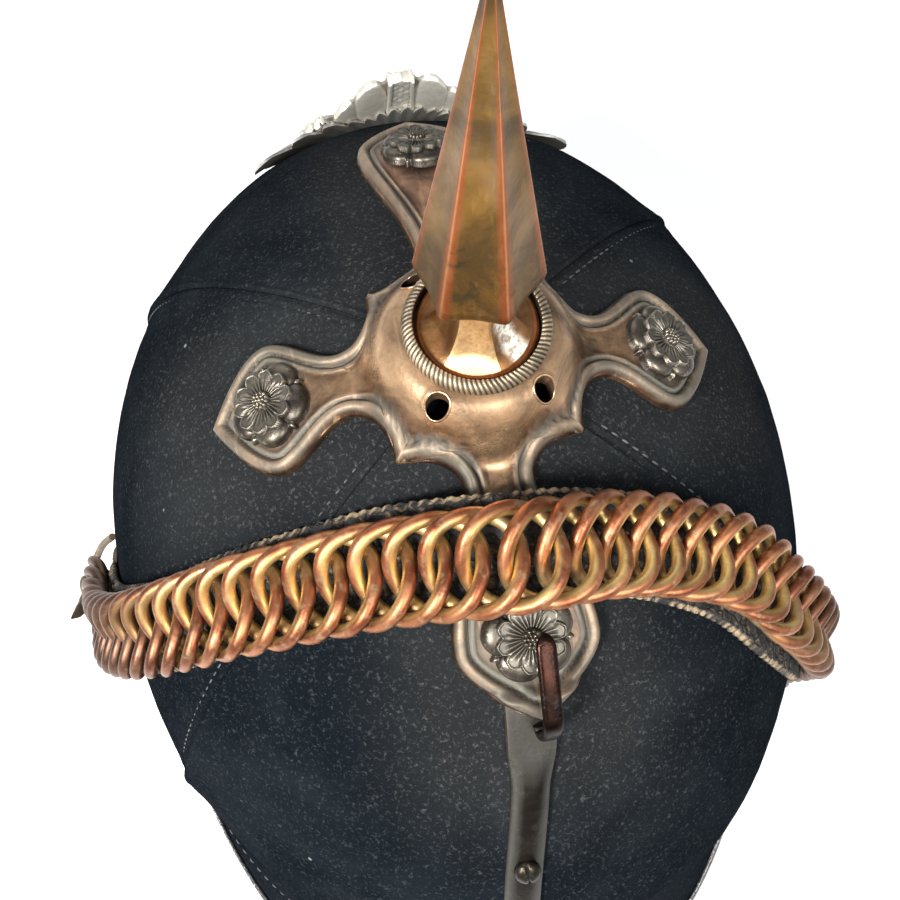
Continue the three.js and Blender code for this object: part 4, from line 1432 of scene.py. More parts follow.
@dataclass
class PeakBindings:
    """The bindings of the two rims: a metal channel in front and a strip of patent leather behind."""

    form: HelmetForm
    shop: Workshop
    metal: MetalFinish
    leather: LeatherFinish
    below: float = 1.2
    thickness: float = 0.9
    metal_width: float = 4.8
    leather_width: float = 3.2
    rim_gap: float = 0.6

    def build(self) -> None:
        """Builds both bindings."""
        front = self.binding("front_binding", -math.pi, 0, self.metal_width, 0.25)
        self.shop.dress(front, self.metal, Slot.BRONZE, ["front_peak_binding"])
        back = self.binding("back_binding", 0, math.pi, self.leather_width, 0.1)
        self.shop.dress(back, self.leather, Slot.PATENT, ["back_peak_binding"])

    def binding(self, name: str, start: float, end: float, width: float, lip: float) -> Piece:
        """One binding, a rounded channel that is level where the helmet stands on it.

        Args:
            name: The piece's name.
            start: The plan angle where it starts.
            end: The plan angle where it ends.
            width: How far it shows on the peak's face.
            lip: The height of the bead along its upper edge.

        Returns:
            The binding.
        """
        outer = self.thickness + GAP
        depth = self.form.wall + 2 * outer
        reach = width - self.below
        turn = np.linspace(math.pi / 2, -math.pi / 2, 15)
        nose = np.stack([(self.below + self.thickness) * np.cos(turn),
                         outer - depth / 2 + depth / 2 * np.sin(turn)], -1)
        face = [[-reach, GAP], [-reach - 0.1, outer * 0.6], [-reach + 0.25, outer + lip],
                [-reach + 0.7, outer]]
        back = [[-reach * 0.4, outer - depth], [-reach, outer - depth], [-reach, -self.form.wall - GAP],
                [0, -self.form.wall - GAP], [0, GAP]]
        outline = np.concatenate([face, nose, back])
        angle = np.linspace(start + 0.004, end - 0.004, 241)
        across = unit(self.form.at(angle, 2.0) - self.form.at(angle, 1.99))
        out = self.form.normal(angle, 2.0)
        stations = swept(self.form.rim(angle) - self.rim_gap * across, across, out, outline)
        stations[..., 2] = np.maximum(stations[..., 2], 0)
        rubbed = np.zeros(stations.shape[:2])
        rubbed[:, 1:8] = 0.5
        made = Shape()
        made.tube(stations, masks={"rubbed": rubbed})
        return made.made(name, crease=55)


# ---------------------------------------------------------------- cross piece and roses


@dataclass
class CrossPiece:
    """The four-armed top mount with ogee leaf ends, a double raised border, a domed middle and four vents."""

    form: HelmetForm
    shop: Workshop
    metal: MetalFinish
    side: float = 51.5
    front: float = 74.5
    back: float = 65.0
    leaf_at: float = 13.5
    leaf_half: float = 13.6
    neck_at: float = 24.5
    neck_half: float = 6.6
    cusp: float = 17.5
    thickness: float = 1.7
    dome_height: float = 9.6
    dome_top: float = 12.2
    dome_foot: float = 22.5
    tail_lift: float = 1.7
    tail_start: float = 6.3
    tail_rise: float = 2.0
    vent_radius: float = 2.0
    vent_reach: float = 14.3
    vent_angle: float = 54.0
    bead_at: float = 1.75
    bead_half: float = 1.15
    bead_height: float = 1.4
    lip_height: float = 1.25
    inner_bead_at: float = 3.7
    inner_rows: int = 28
    fine_tip: float = 1.5
    groove_at: float = 3.0
    groove_half: float = 0.35
    unevenness: Ripples = Ripples(seed=21, wavelength=17, height=0.07)

    def arms(self) -> list[tuple[float, float]]:
        """Each arm's plan angle and length."""
        return [(0, self.side), (90, self.back), (180, self.side), (270, self.front)]

    def half_width(self, distance: Array, length: float) -> Array:
        """Half the width of an arm at distances from the middle.

        Args:
            distance: Distances along the arm, past the cusp.
            length: The arm's length.

        Returns:
            The half widths.
        """
        leaf = length - self.leaf_at
        near = np.clip((distance - self.cusp) / (self.neck_at - self.cusp), 0, 1)
        neck = mix(self.cusp, self.neck_half, np.sqrt(1 - (1 - near) ** 2))
        flare = mix(self.neck_half, self.leaf_half, smooth_step(self.neck_at, leaf, distance))
        share = np.clip((distance - leaf) / self.leaf_at, 0, 1)
        tip = self.leaf_half * np.maximum(np.cos(share * math.pi / 2), 0) ** 0.95 + 0.01
        return np.where(distance < self.neck_at, neck, np.where(distance < leaf, flare, tip))

    def arm_plan(self, turn: float, length: float) -> Array:
        """Rows of plan points over one arm, from the middle to its tip.

        Args:
            turn: The arm's plan angle in degrees.
            length: The arm's length.

        Returns:
            The plan points.
        """
        inner = np.linspace(0.02, 1, self.inner_rows) * self.cusp
        outer = np.concatenate([np.linspace(self.cusp, length - self.leaf_at, 48)[1:],
                                length - self.leaf_at * (1 - np.linspace(0, 1, 54)[1:])])
        distance = np.concatenate([inner, outer])
        half = np.concatenate([inner, self.half_width(outer, length)])
        share = 1 - np.array([0, 0.012, 0.03, 0.055, 0.08, 0.11, 0.14, 0.17, 0.2, 0.23, 0.26, 0.29, 0.32,
                              0.35, 0.39, 0.43, 0.48, 0.54, 0.61, 0.69, 0.78, 0.89])
        share = np.concatenate([-share, [0], share[::-1]])
        across = half[:, None] * share[None]
        along = np.broadcast_to(distance[:, None], across.shape)
        return plan_along(along, across, turn)

    def outline(self) -> Array:
        """Plan points close together round the whole edge.

        Returns:
            The plan points.
        """
        made = []
        for turn, length in self.arms():
            tip = length - self.fine_tip
            along = np.concatenate([np.linspace(self.cusp, tip, 900), np.linspace(tip, length, 200)])
            half = self.half_width(along, length)
            for side in (1, -1):
                made.append(plan_along(along, side * half, turn))
        return np.vstack(made)

    def edge_distance(self, plan: Array, outline: Array) -> Array:
        """How far plan points lie from the outline.

        Args:
            plan: The plan points.
            outline: The edge's plan points.

        Returns:
            The distances.
        """
        tree = KDTree(len(outline))
        for index, (x, y) in enumerate(outline):
            tree.insert((x, y, 0), index)
        tree.balance()
        flat = plan.reshape(-1, 2)
        return np.array([tree.find((x, y, 0))[2] for x, y in flat]).reshape(plan.shape[:-1])

    def tail(self, y: Array) -> Array:
        """How far the back arm's tip is lifted over the spine's head."""
        start = self.back - self.tail_start
        return self.tail_lift * smooth_step(start, start + self.tail_rise, y)

    def dome(self, plan: Array) -> Array:
        """The height of the middle dome."""
        radius = np.hypot(plan[..., 0], plan[..., 1])
        return self.dome_height * (1 - smooth_step(self.dome_top, self.dome_foot, radius))

    def relief(self, plan: Array, edge: Array) -> Array:
        """The height of the top face over the cloth: border beads, groove, dome and vent collars.

        Args:
            plan: The plan points.
            edge: How far they are from the outline.

        Returns:
            The heights.
        """
        border = self.lip_height * np.sqrt(np.clip(edge / 0.45, 0, 1))
        border = border + self.bead_height * half_round(edge - self.bead_at, self.bead_half)
        inside = self.thickness + 0.42 * bump(edge - self.inner_bead_at, 0.45)
        inside = inside - 0.5 * bump(edge - self.groove_at, self.groove_half)
        height = mix(border, inside, smooth_step(2.75, 3.05, edge))
        return height + self.dome(plan) + self.vent_collar(plan)

    def vents(self) -> Array:
        """Plan positions of the four vents."""
        turns = np.radians([self.vent_angle, 180 - self.vent_angle, 180 + self.vent_angle, -self.vent_angle])
        return self.vent_reach * np.stack([np.cos(turns), np.sin(turns)], -1)

    def vent_collar(self, plan: Array) -> Array:
        """A slight raised lip round each vent."""
        away = np.linalg.norm(plan[..., None, :] - self.vents(), axis=-1).min(-1)
        return 0.25 * bump(away - self.vent_radius - 0.25, 0.5)

    def over(self, plan: Array, height: Amount) -> Array:
        """Places plan points at a height over the cloth."""
        lift = GAP + self.tail(plan[..., 1])
        return self.form.above(plan[..., 0] + self.form.top_axis, plan[..., 1], lift + height)

    def ringed(self, plan: Array) -> tuple[Array, Array]:
        """Moves plan points inside a vent out to its edge, and says which they are.

        Args:
            plan: The plan points.

        Returns:
            The moved points, and which of them lay inside a vent.
        """
        inside = np.zeros(plan.shape[:-1], bool)
        for centre in self.vents():
            away = plan - centre
            radius = np.linalg.norm(away, axis=-1)
            here = radius < self.vent_radius
            moved = centre + away / np.maximum(radius, 1e-9)[..., None] * self.vent_radius
            plan = np.where(here[..., None], moved, plan)
            inside |= here
        return plan, inside

    def build(self) -> None:
        """Builds the cross piece and its vent rims."""
        outline = self.outline()
        made = Shape()
        for turn, length in self.arms():
            plan, inside = self.ringed(self.arm_plan(turn, length))
            edge = self.edge_distance(plan, outline)
            height = self.relief(plan, edge)
            top = self.over(plan, height)
            outward = unit(top - np.array([0, 0, 60]))
            top = top + self.unevenness.at(top)[..., None] * outward * (edge > 2)[..., None]
            hollow = np.maximum(self.dome(plan) - self.thickness * 0.4, 0)
            border = smooth_step(0.3, 0.9, edge) * (1 - smooth_step(3.6, 4.4, edge))
            groove = bump(edge - self.groove_at, self.groove_half)
            radius = np.hypot(plan[..., 0], plan[..., 1])
            copper = 0.95 * smooth_step(40, 16, radius) * smooth_step(3.6, 6, edge)
            leaf = 0.55 * smooth_step(length - 26, length - 14, radius)
            masks = {
                "aged": 0.75 * border + leaf * (edge > 3.3),
                "rubbed": np.clip(copper + 0.5 * bump(edge - 2.2, 0.5), 0, 1),
                # The groove inside the border, and the dome's middle under and round the collar's foot, are
                # darkened.
                "recess_dark": np.maximum(0.55 * groove, 0.6 * smooth_step(17.5, 13, radius)),
                "vent": inside,
            }
            made.merge(self.arm_solid(top, self.over(plan, hollow * 0.98), masks))
        made.drop_faces("vent")
        self.add_vent_rims(made)
        self.shop.dress(made.made("cross_piece_top"), self.metal, Slot.BRONZE, ["cross_piece"])

    def arm_solid(self, top: Array, bottom: Array, masks: dict[str, Array]) -> Shape:
        """One arm as top and bottom faces joined along its outline.

        Args:
            top: Rows of top points.
            bottom: Rows of bottom points.
            masks: The masks of the top points.

        Returns:
            The arm.
        """
        made = Shape()
        first = made.grid(top, masks=masks)
        second = made.grid(bottom, flip=True, masks={"aged": 0.3, "vent": masks["vent"]})
        rows, columns = top.shape[:2]
        index = np.arange(rows * columns).reshape(rows, columns)
        cusp = self.inner_rows - 1
        for edge in (index[cusp:, 0][::-1], index[-1][::-1], index[cusp:, -1]):
            made.bridge(first + edge, second + edge)
        return made

    def add_vent_rims(self, made: Shape) -> None:
        """Adds each vent's worn rim and its short wall.

        Args:
            made: The shape that takes the pieces.
        """
        turn = np.arange(40) / 40 * TURN
        for centre in self.vents():
            circle = centre + self.vent_radius * np.stack([np.cos(turn), np.sin(turn)], -1)
            high = self.over(circle, self.relief(circle, np.full(40, 9.0)))
            low = self.over(circle, self.dome(circle) - self.thickness)
            middle = high.mean(0)
            out = unit(high - middle)
            up = unit(high - low)
            rim = swept(high, out, up, round_outline(0.26, 8))
            made.tube(rim, closed=True, masks={"rubbed": 1.0})
            # The vent's short wall is darkened.
            made.grid(np.stack([high - out * 0.02, low]), closed=True, masks={"recess_dark": 0.5})


@dataclass
class Rose:
    """A five-petalled rose: veined heart-shaped inner petals, smooth outer lobes, sepal tips and seeds."""

    radius: float = 8.2
    height: float = 4.6
    turn: float = 0.0
    seed: int = 0

    def petal_frame(self, radius: Array, angle: Array, shift: float = 0.0) -> tuple[Array, Array, Array]:
        """Positions along and across the nearest petal.

        Args:
            radius: Distance from the centre, as a share of the rose's radius.
            angle: Angle round the centre.
            shift: Where the first petal points.

        Returns:
            The distance along the petal, the distance across it and the petal's number.
        """
        which = np.round((angle - shift) / (TURN / 5))
        away = angle - shift - which * TURN / 5
        return radius * np.cos(away), radius * np.sin(away), which

    def relief(self, radius: Array, angle: Array) -> tuple[Array, dict[str, Array]]:
        """Heights over the leaf, as shares of the rose's height, and the finish's masks.

        Args:
            radius: Distance from the centre, as a share of the rose's radius.
            angle: Angle round the centre.

        Returns:
            The heights and the masks.
        """
        along, across, which = self.petal_frame(radius, angle, self.turn)
        uneven = 0.05 * np.sin(which * 2.7 + self.seed)
        lobe = half_round(np.hypot((along - 0.66) / 0.36, (across * (1 + uneven)) / 0.46), 1.0)
        lobe_height = 0.60 * np.sqrt(lobe) * (lobe > 0)
        heart = 0.61 + 0.14 * np.sqrt(np.clip(np.abs(across) / 0.16, 0, 1))
        heart = heart - 1.35 * np.maximum(np.abs(across) - 0.2, 0) ** 1.3
        side = 0.37 * np.clip(along / 0.52, 0, 1) ** 0.75
        inside = np.minimum(heart - along, (side - np.abs(across)) * 1.2)
        petal = smooth_step(-0.012, 0.022, inside)
        fan = np.arctan2(across, np.maximum(along - 0.05, 0.02))
        veins = 0.045 * np.cos(fan * 26 + 0.9 * np.sin(which * 3.1)) * smooth_step(0.6, 0.3, along)
        rim = 0.05 * bump(inside - 0.03, 0.025)
        cup = 0.66 + 0.10 * smooth_step(0.22, 0.6, along)
        cup = cup - 0.07 * bump(across, 0.06) * smooth_step(0.3, 0.55, along)
        petal_height = petal * (cup + veins + rim)
        sepal_along, sepal_across, _ = self.petal_frame(radius, angle, self.turn + TURN / 10)
        tip = np.minimum(1.0 - sepal_along, 0.5)
        sepal_half = 0.10 * np.clip(tip / 0.22, 0, 1) ** 0.6 + 0.02 * bump(sepal_along - 0.84, 0.06)
        sepal = smooth_step(0, 0.03, sepal_half - np.abs(sepal_across)) * (sepal_along > 0.3) * (tip > 0)
        swell = 0.12 * (1 - np.abs(sepal_across) / 0.12) * bump(sepal_along - 0.86, 0.1)
        sepal_height = sepal * (0.26 + swell)
        seeds = np.zeros_like(radius)
        x, y = radius * np.cos(angle), radius * np.sin(angle)
        for ring, count in ((0.0, 1), (0.095, 6), (0.175, 11)):
            for place in range(count):
                turn = place / count * TURN + ring * 9
                away = np.hypot(x - ring * math.cos(turn), y - ring * math.sin(turn))
                seeds = np.maximum(seeds, half_round(away, 0.052))
        button = np.where(radius < 0.235, 0.74 + 0.09 * half_round(radius, 0.25) + 0.14 * seeds, 0)
        height = np.maximum.reduce([lobe_height, petal_height, sepal_height, button])
        on_petal = (petal_height >= lobe_height) & (petal > 0.4) & (button == 0)
        gap = smooth_step(0.12, 0.02, height) * (radius < 0.9)
        masks = {
            "aged": 0.3 * on_petal + 0.08 * (height > 0),
            "rubbed": 0.5 * bump(height - 0.86, 0.05) + 0.25 * (sepal_height >= height) * (height > 0.2),
            # Darkened in the gaps between the petals and lobes, in the valleys between the veins and between
            # the seeds.
            "recess_dark": np.clip(0.7 * gap + 0.5 * smooth_step(0.0, -0.02, veins) * on_petal
                            + 0.6 * (button > 0) * smooth_step(0.4, 0.1, seeds), 0, 1),
        }
        return height, masks

    def add_to(self, made: Shape, seat: Callable[[Array, Array], Array], up: Array) -> None:
        """Adds the rose to a shape.

        Args:
            made: The shape.
            seat: Gives the leaf's surface under offsets from the rose's centre.
            up: The direction that the rose faces.
        """
        share = np.concatenate([np.linspace(0.004, 0.25, 22), np.linspace(0.265, 1.04, 56)])
        angle = whole_turn(290)
        share, angle = np.meshgrid(share, angle, indexing="ij")
        height, masks = self.relief(share, angle)
        foot = seat(share * self.radius * np.cos(angle), share * self.radius * np.sin(angle))
        lift = np.where(height > 0.01, height * self.height, -0.35)
        made.grid(foot + up * lift[..., None], closed=True, masks=masks)


@dataclass
class Roses:
    """The four roses on the cross piece's leaves."""

    form: HelmetForm
    shop: Workshop
    metal: MetalFinish
    side: float = 38.2
    front: float = 58.0
    back: float = 50.5
    seat_height: float = 1.7

    def build(self) -> None:
        """Builds the four roses."""
        places = {
            "rose_left": (self.side, 0.0, 0.35),
            "rose_right": (-self.side, 0.0, 0.95),
            "rose_back": (0.0, self.back, -0.2),
            "rose_front": (0.0, -self.front, 0.5),
        }
        for number, (name, (x, y, turn)) in enumerate(places.items()):
            centre = self.form.above(x + self.form.top_axis, y, self.seat_height)
            up = unit(self.form.above(x + self.form.top_axis, y, self.seat_height + 1) - centre)
            right = unit(np.cross(np.array([0, 1, 0]), up))
            ahead = np.cross(up, right)

            def seat(dx: Array, dy: Array) -> Array:
                """The leaf's surface under offsets from the rose's centre.

                Args:
                    dx: Offsets to the rose's right.
                    dy: Offsets ahead of it.

                Returns:
                    The points.
                """
                plan_x = x + self.form.top_axis + dx * right[0] + dy * ahead[0]
                plan_y = y + dx * right[1] + dy * ahead[1]
                return self.form.above(plan_x, plan_y, self.seat_height + GAP)

            made = Shape()
            Rose(turn=turn, seed=number).add_to(made, seat, up)
            self.shop.dress(made.made(f"petalled_{name}"), self.metal, Slot.BRONZE, [name])


# ---------------------------------------------------------------- collar and spike


@dataclass(frozen=True)
class SpikeFinish:
    """Worn gilding: mottled ochre facets, red copper ridges, dark stains and a dull grey-brown film, with a
    painted golden highlight on one trumpet facet and painted highlight lines along the point's ridges.
    """

    name: str = "worn_gilt"
    ochre: Colour = (0.225, 0.118, 0.026)
    umber: Colour = (0.085, 0.05, 0.018)
    copper: Colour = (0.27, 0.07, 0.022)
    film: Colour = (0.085, 0.062, 0.050)
    chalk: Colour = (0.66, 0.64, 0.56)
    highlight_and_scratch_gold: Colour = (0.82, 0.55, 0.27)
    # The colour of the dark stains, and of the darkened recess under the bulb.
    stain_and_recess_tone: Colour = (0.035, 0.032, 0.018)

    def material(self) -> Material:
        """The spike's material. Masks: ridge, rubbed, chalk, one that darkens recesses and one that paints a
        golden highlight.

        Returns:
            The material.
        """
        made, sheet, shader = new_material(self.name)
        mottled = Mottling.put(sheet, Patch_scale=55.0, Grain_scale=1500.0)
        lines = Scratches.put(sheet)["Lines"]
        base = sheet.blend(mottled["Patches"], self.umber, self.ochre)
        streaks = sheet.node("ShaderNodeMapping", {"Vector": sheet.place()})
        streaks.inputs["Scale"].default_value = (1.0, 1.0, 0.25)
        film = sheet.step(sheet.noise(150.0, 5.0, 0.65, 0.5, streaks.outputs[0]), 0.42, 0.72)
        base = sheet.blend(sheet.times(film, 0.45), base, self.film)
        stains = sheet.step(sheet.noise(95.0, 4.0, 0.6, 0.8), 0.63, 0.7)
        base = sheet.blend(sheet.times(stains, 0.75), base, self.stain_and_recess_tone)
        ridge = sheet.larger(sheet.mask("ridge"), sheet.mask("rubbed"))
        ridge = sheet.times(ridge, sheet.between(mottled["Spots"], 0.85, 0.45))
        base = sheet.blend(ridge, base, self.copper)
        # Painted highlight: golden colour on the trumpet facet that faces the window light and along the
        # point's ridge lines.
        base = sheet.blend(sheet.times(sheet.mask("gilt"), sheet.between(mottled["Grain"], 0.5, 1.3)),
                           base, self.highlight_and_scratch_gold)
        base = sheet.blend(sheet.times(mottled["Spots"], 0.25), base, self.umber)
        # Darkened where the neck tucks under the bulb, from the mesh's recess mask.
        base = sheet.blend(sheet.mask("recess_dark"), base, self.stain_and_recess_tone)
        base = sheet.blend(sheet.times(lines, 0.04), base, self.highlight_and_scratch_gold)
        speckle = sheet.step(sheet.noise(900.0, 3.0, 0.6), 0.34, 0.6)
        ragged = sheet.plus(sheet.mask("chalk"), sheet.times(mottled["Patches"], 0.5))
        chalky = sheet.times(sheet.step(ragged, 0.55, 1.05), sheet.between(speckle, 0.35, 1.0))
        base = sheet.blend(chalky, base, self.chalk)
        dull = sheet.larger(sheet.times(film, 0.5), chalky)
        sheet.feed(shader.inputs["Metallic"], sheet.between(dull, 0.95, 0.25))
        rough = sheet.between(mottled["Patches"], 0.42, 0.3)
        rough = sheet.between(sheet.larger(stains, chalky), rough, 0.6)
        rough = sheet.plus(rough, sheet.times(mottled["Grain"], 0.1))
        relief = sheet.plus(mottled["Grain"], sheet.times(mottled["Spots"], 0.6))
        sheet.dress(shader, base, rough, relief, 0.2)
        return made


@dataclass
class SpikeAndCollar:
    """The six-sided spike on its trumpet foot, and the milled ring that it screws into."""

    form: HelmetForm
    shop: Workshop
    collar_metal: MetalFinish
    spike_metal: SpikeFinish
    collar_radius: float = 13.2
    collar_wire: float = 1.7
    collar_height: float = 12.9
    strokes: int = 88
    turn: float = 16.4
    lean: float = 2.3
    sides: int = 6
    foot_height: float = 12.1
    foot_radius: float = 10.9
    neck_height: float = 25.5
    neck_radius: float = 5.1
    bulb_height: float = 31.4
    bulb_radius: float = 10.5
    tip_height: float = 83.4

    def build(self) -> None:
        """Builds the ring and the spike."""
        self.shop.dress(self.ring(), self.collar_metal, Slot.BRONZE, ["collar"])
        self.shop.dress(self.spike(), self.spike_metal, Slot.SPIKE, ["spike"])

    def ring(self) -> Piece:
        """The ring, with oblique milled strokes over its upper face and a plain bead below.

        Returns:
            The ring.
        """
        angle = whole_turn(self.strokes * 7)
        around = whole_turn(36)
        angle_grid, around_grid = np.meshgrid(angle, around, indexing="ij")
        upper = smooth_step(-0.35, 0.05, around_grid) * smooth_step(2.5, 2.1, around_grid)
        upper = np.where(around_grid > math.pi, smooth_step(-0.35, 0.05, around_grid - TURN), upper)
        slope = np.where(around_grid > math.pi, around_grid - TURN, around_grid)
        stroke = np.abs(np.sin((angle_grid * self.strokes + slope * 4.4) / 2))
        lift = upper * (0.42 * stroke ** 0.8 - 0.3)
        plain = 0.18 * bump(slope + 0.75, 0.22)
        wire = self.collar_wire + lift + plain
        middle = self.collar_radius - self.collar_wire
        radius = np.maximum(middle + wire * np.cos(around_grid), self.foot_radius + 0.35)
        height = self.form.crown + self.collar_height + wire * np.sin(around_grid)
        points = point(radius * np.cos(angle_grid) + self.form.top_axis, radius * np.sin(angle_grid), height)
        made = Shape()
        # The valleys between the milled strokes are darkened.
        masks = {"rubbed": upper * smooth_step(0.45, 0.9, stroke) + 0.5 * bump(slope + 0.75, 0.25),
                 "recess_dark": upper * smooth_step(0.5, 0.1, stroke), "aged": 0.25 * upper}
        made.tube(points, closed=True, masks=masks)
        skirt = np.array([[middle - 0.2, self.collar_height - 0.9], [middle + 0.9, self.collar_height - 1.0],
                          [middle + 1.0, self.collar_height - 2.6], [middle - 0.2, self.collar_height - 2.8]])
        base = turned(skirt, 96) + np.array([self.form.top_axis, 0, self.form.crown])
        # The skirt under the ring is darkened.
        made.tube(base, closed=True, masks={"recess_dark": 0.3})
        return made.made("milled_ring")

    def facet_angles(self) -> tuple[Array, Array, Array]:
        """Angles round the spike, with steps of their own along each bevelled ridge.

        Returns:
            The angles, how far each lies from its facet's middle, and how much it is on a ridge.
        """
        half = math.pi / self.sides
        local = half * np.array([-1, -0.98, -0.93, -0.86, -0.78, -0.69, -0.3, 0,
                                 0.3, 0.69, 0.78, 0.86, 0.93, 0.98])
        ridge = smooth_step(0.68, 0.87, np.abs(local) / half)
        middles = np.arange(self.sides) * TURN / self.sides
        angle = (middles[:, None] + local[None]).ravel() + half
        return angle, np.tile(local, self.sides), np.tile(ridge, self.sides)

    def hexagon(self, radius: float, roundness: float) -> tuple[Array, Array]:
        """An outline of the spike, and its ridge mask.

        Args:
            radius: Distance from the axis to a ridge.
            roundness: 0 for flat facets, 1 for a circle.

        Returns:
            The outline's plan points and how much each is on a ridge.
        """
        angle, local, ridge = self.facet_angles()
        half = math.pi / self.sides
        flat = math.cos(half) / np.cos(local)
        fluting = -0.035 * (1 - (local / half / 0.8) ** 2).clip(0)
        bevel = -0.012 * ridge * np.abs(np.abs(local) / half > 0.97)
        reach = radius * mix(flat + fluting + bevel, 1.0, roundness)
        return np.stack([reach * np.cos(angle), reach * np.sin(angle)], -1), ridge

    def spike(self) -> Piece:
        """The whole spike: round foot, flared trumpet, neck, bulb edge and long point.

        Returns:
            The spike.
        """
        levels: list[tuple[float, float, float, str]] = []
        levels += [(0.5, self.foot_height, 1, "foot"), (self.foot_radius - 0.5, self.foot_height, 1, "foot"),
                   (self.foot_radius, self.foot_height + 0.4, 1, "rim"),
                   (self.foot_radius - 0.05, self.foot_height + 0.9, 1, "rim"),
                   (self.foot_radius - 0.5, self.foot_height + 1.25, 1, "rim"),
                   (self.foot_radius - 1.0, self.foot_height + 1.15, 1, "rim")]
        for share in np.linspace(0, 1, 22):
            radius = mix(self.foot_radius - 1.25, self.neck_radius, 1 - (1 - share) ** 2.6)
            height = mix(self.foot_height + 1.25, self.neck_height, share ** 1.15)
            levels.append((radius, height, float(smooth_step(0.14, 0.0, share)), "trumpet"))
        under = self.bulb_height - 2.2
        levels += [(self.neck_radius * 1.15, self.neck_height + 1.6, 0, "neck"),
                   (self.bulb_radius * 0.78, under, 0, "neck"),
                   (self.bulb_radius * 0.93, under + 0.7, 0, "neck"),
                   (self.bulb_radius * 0.985, under + 1.3, 0, "edge"),
                   (self.bulb_radius, self.bulb_height, 0, "edge")]
        for share in np.linspace(0.02, 1, 60):
            height = mix(self.bulb_height, self.tip_height - 0.4, share)
            levels.append((mix(self.bulb_radius, 0.55, share), height, 0, "point"))
        levels += [(0.3, self.tip_height - 0.1, 0.6, "point"), (0.05, self.tip_height, 1, "point")]
        away = self.facet_angles()[1] * self.sides / math.pi
        rings, ridges, copper, under_bulb_dark, gilt, chalk = [], [], [], [], [], []
        for radius, height, roundness, part in levels:
            plan, ridge = self.hexagon(radius, roundness)
            rings.append(np.column_stack([plan, np.full(len(plan), height - self.foot_height)]))
            on_point = 1.0 if part in ("point", "edge") else 0.0
            ridges.append(ridge * on_point)
            # Painted highlight: a bright line along the point's ridges, and the trumpet facet that faces the
            # window light painted almost fully golden while the other trumpet facets get only a trace.
            painted_ridge_highlight = 0.3 * on_point * (ridge > 0) * smooth_step(0.95, 1.0, np.abs(away))
            copper.append(np.full(len(plan), {"rim": 1.0, "trumpet": 0.75}.get(part, 0.0)))
            # The neck, tucked under the bulb's overhang, is darkened.
            under_bulb_dark.append(np.full(len(plan), 0.35 if part == "neck" else 0.0))
            facet = np.repeat(np.arange(self.sides), len(plan) // self.sides)
            gilt.append(painted_ridge_highlight + (np.where(facet == 1, 0.95, 0.1) if part == "trumpet" else 0.0))
            inside = bump(away, 0.85) * (facet == 2)
            chalk.append(inside * (part == "trumpet") * smooth_step(0.99, 0.9, radius / self.foot_radius))
        points = np.array(rings)
        spin = math.radians(-self.turn)
        cos, sin = math.cos(spin), math.sin(spin)
        plan = points[..., :2] @ np.array([[cos, sin], [-sin, cos]])
        tilt = math.radians(self.lean)
        x, z = plan[..., 0], points[..., 2]
        placed = point(x * math.cos(tilt) + z * math.sin(tilt) + self.form.top_axis, plan[..., 1],
                       z * math.cos(tilt) - x * math.sin(tilt) + self.form.crown + self.foot_height)
        made = Shape()
        made.tube(placed, masks={"ridge": np.array(ridges), "rubbed": np.array(copper) * 0.6,
                                 "recess_dark": np.array(under_bulb_dark), "gilt": np.array(gilt), "chalk": np.array(chalk)})
        return made.made("six_sided_spike", crease=24)


# ---------------------------------------------------------------- spine, stud and hook


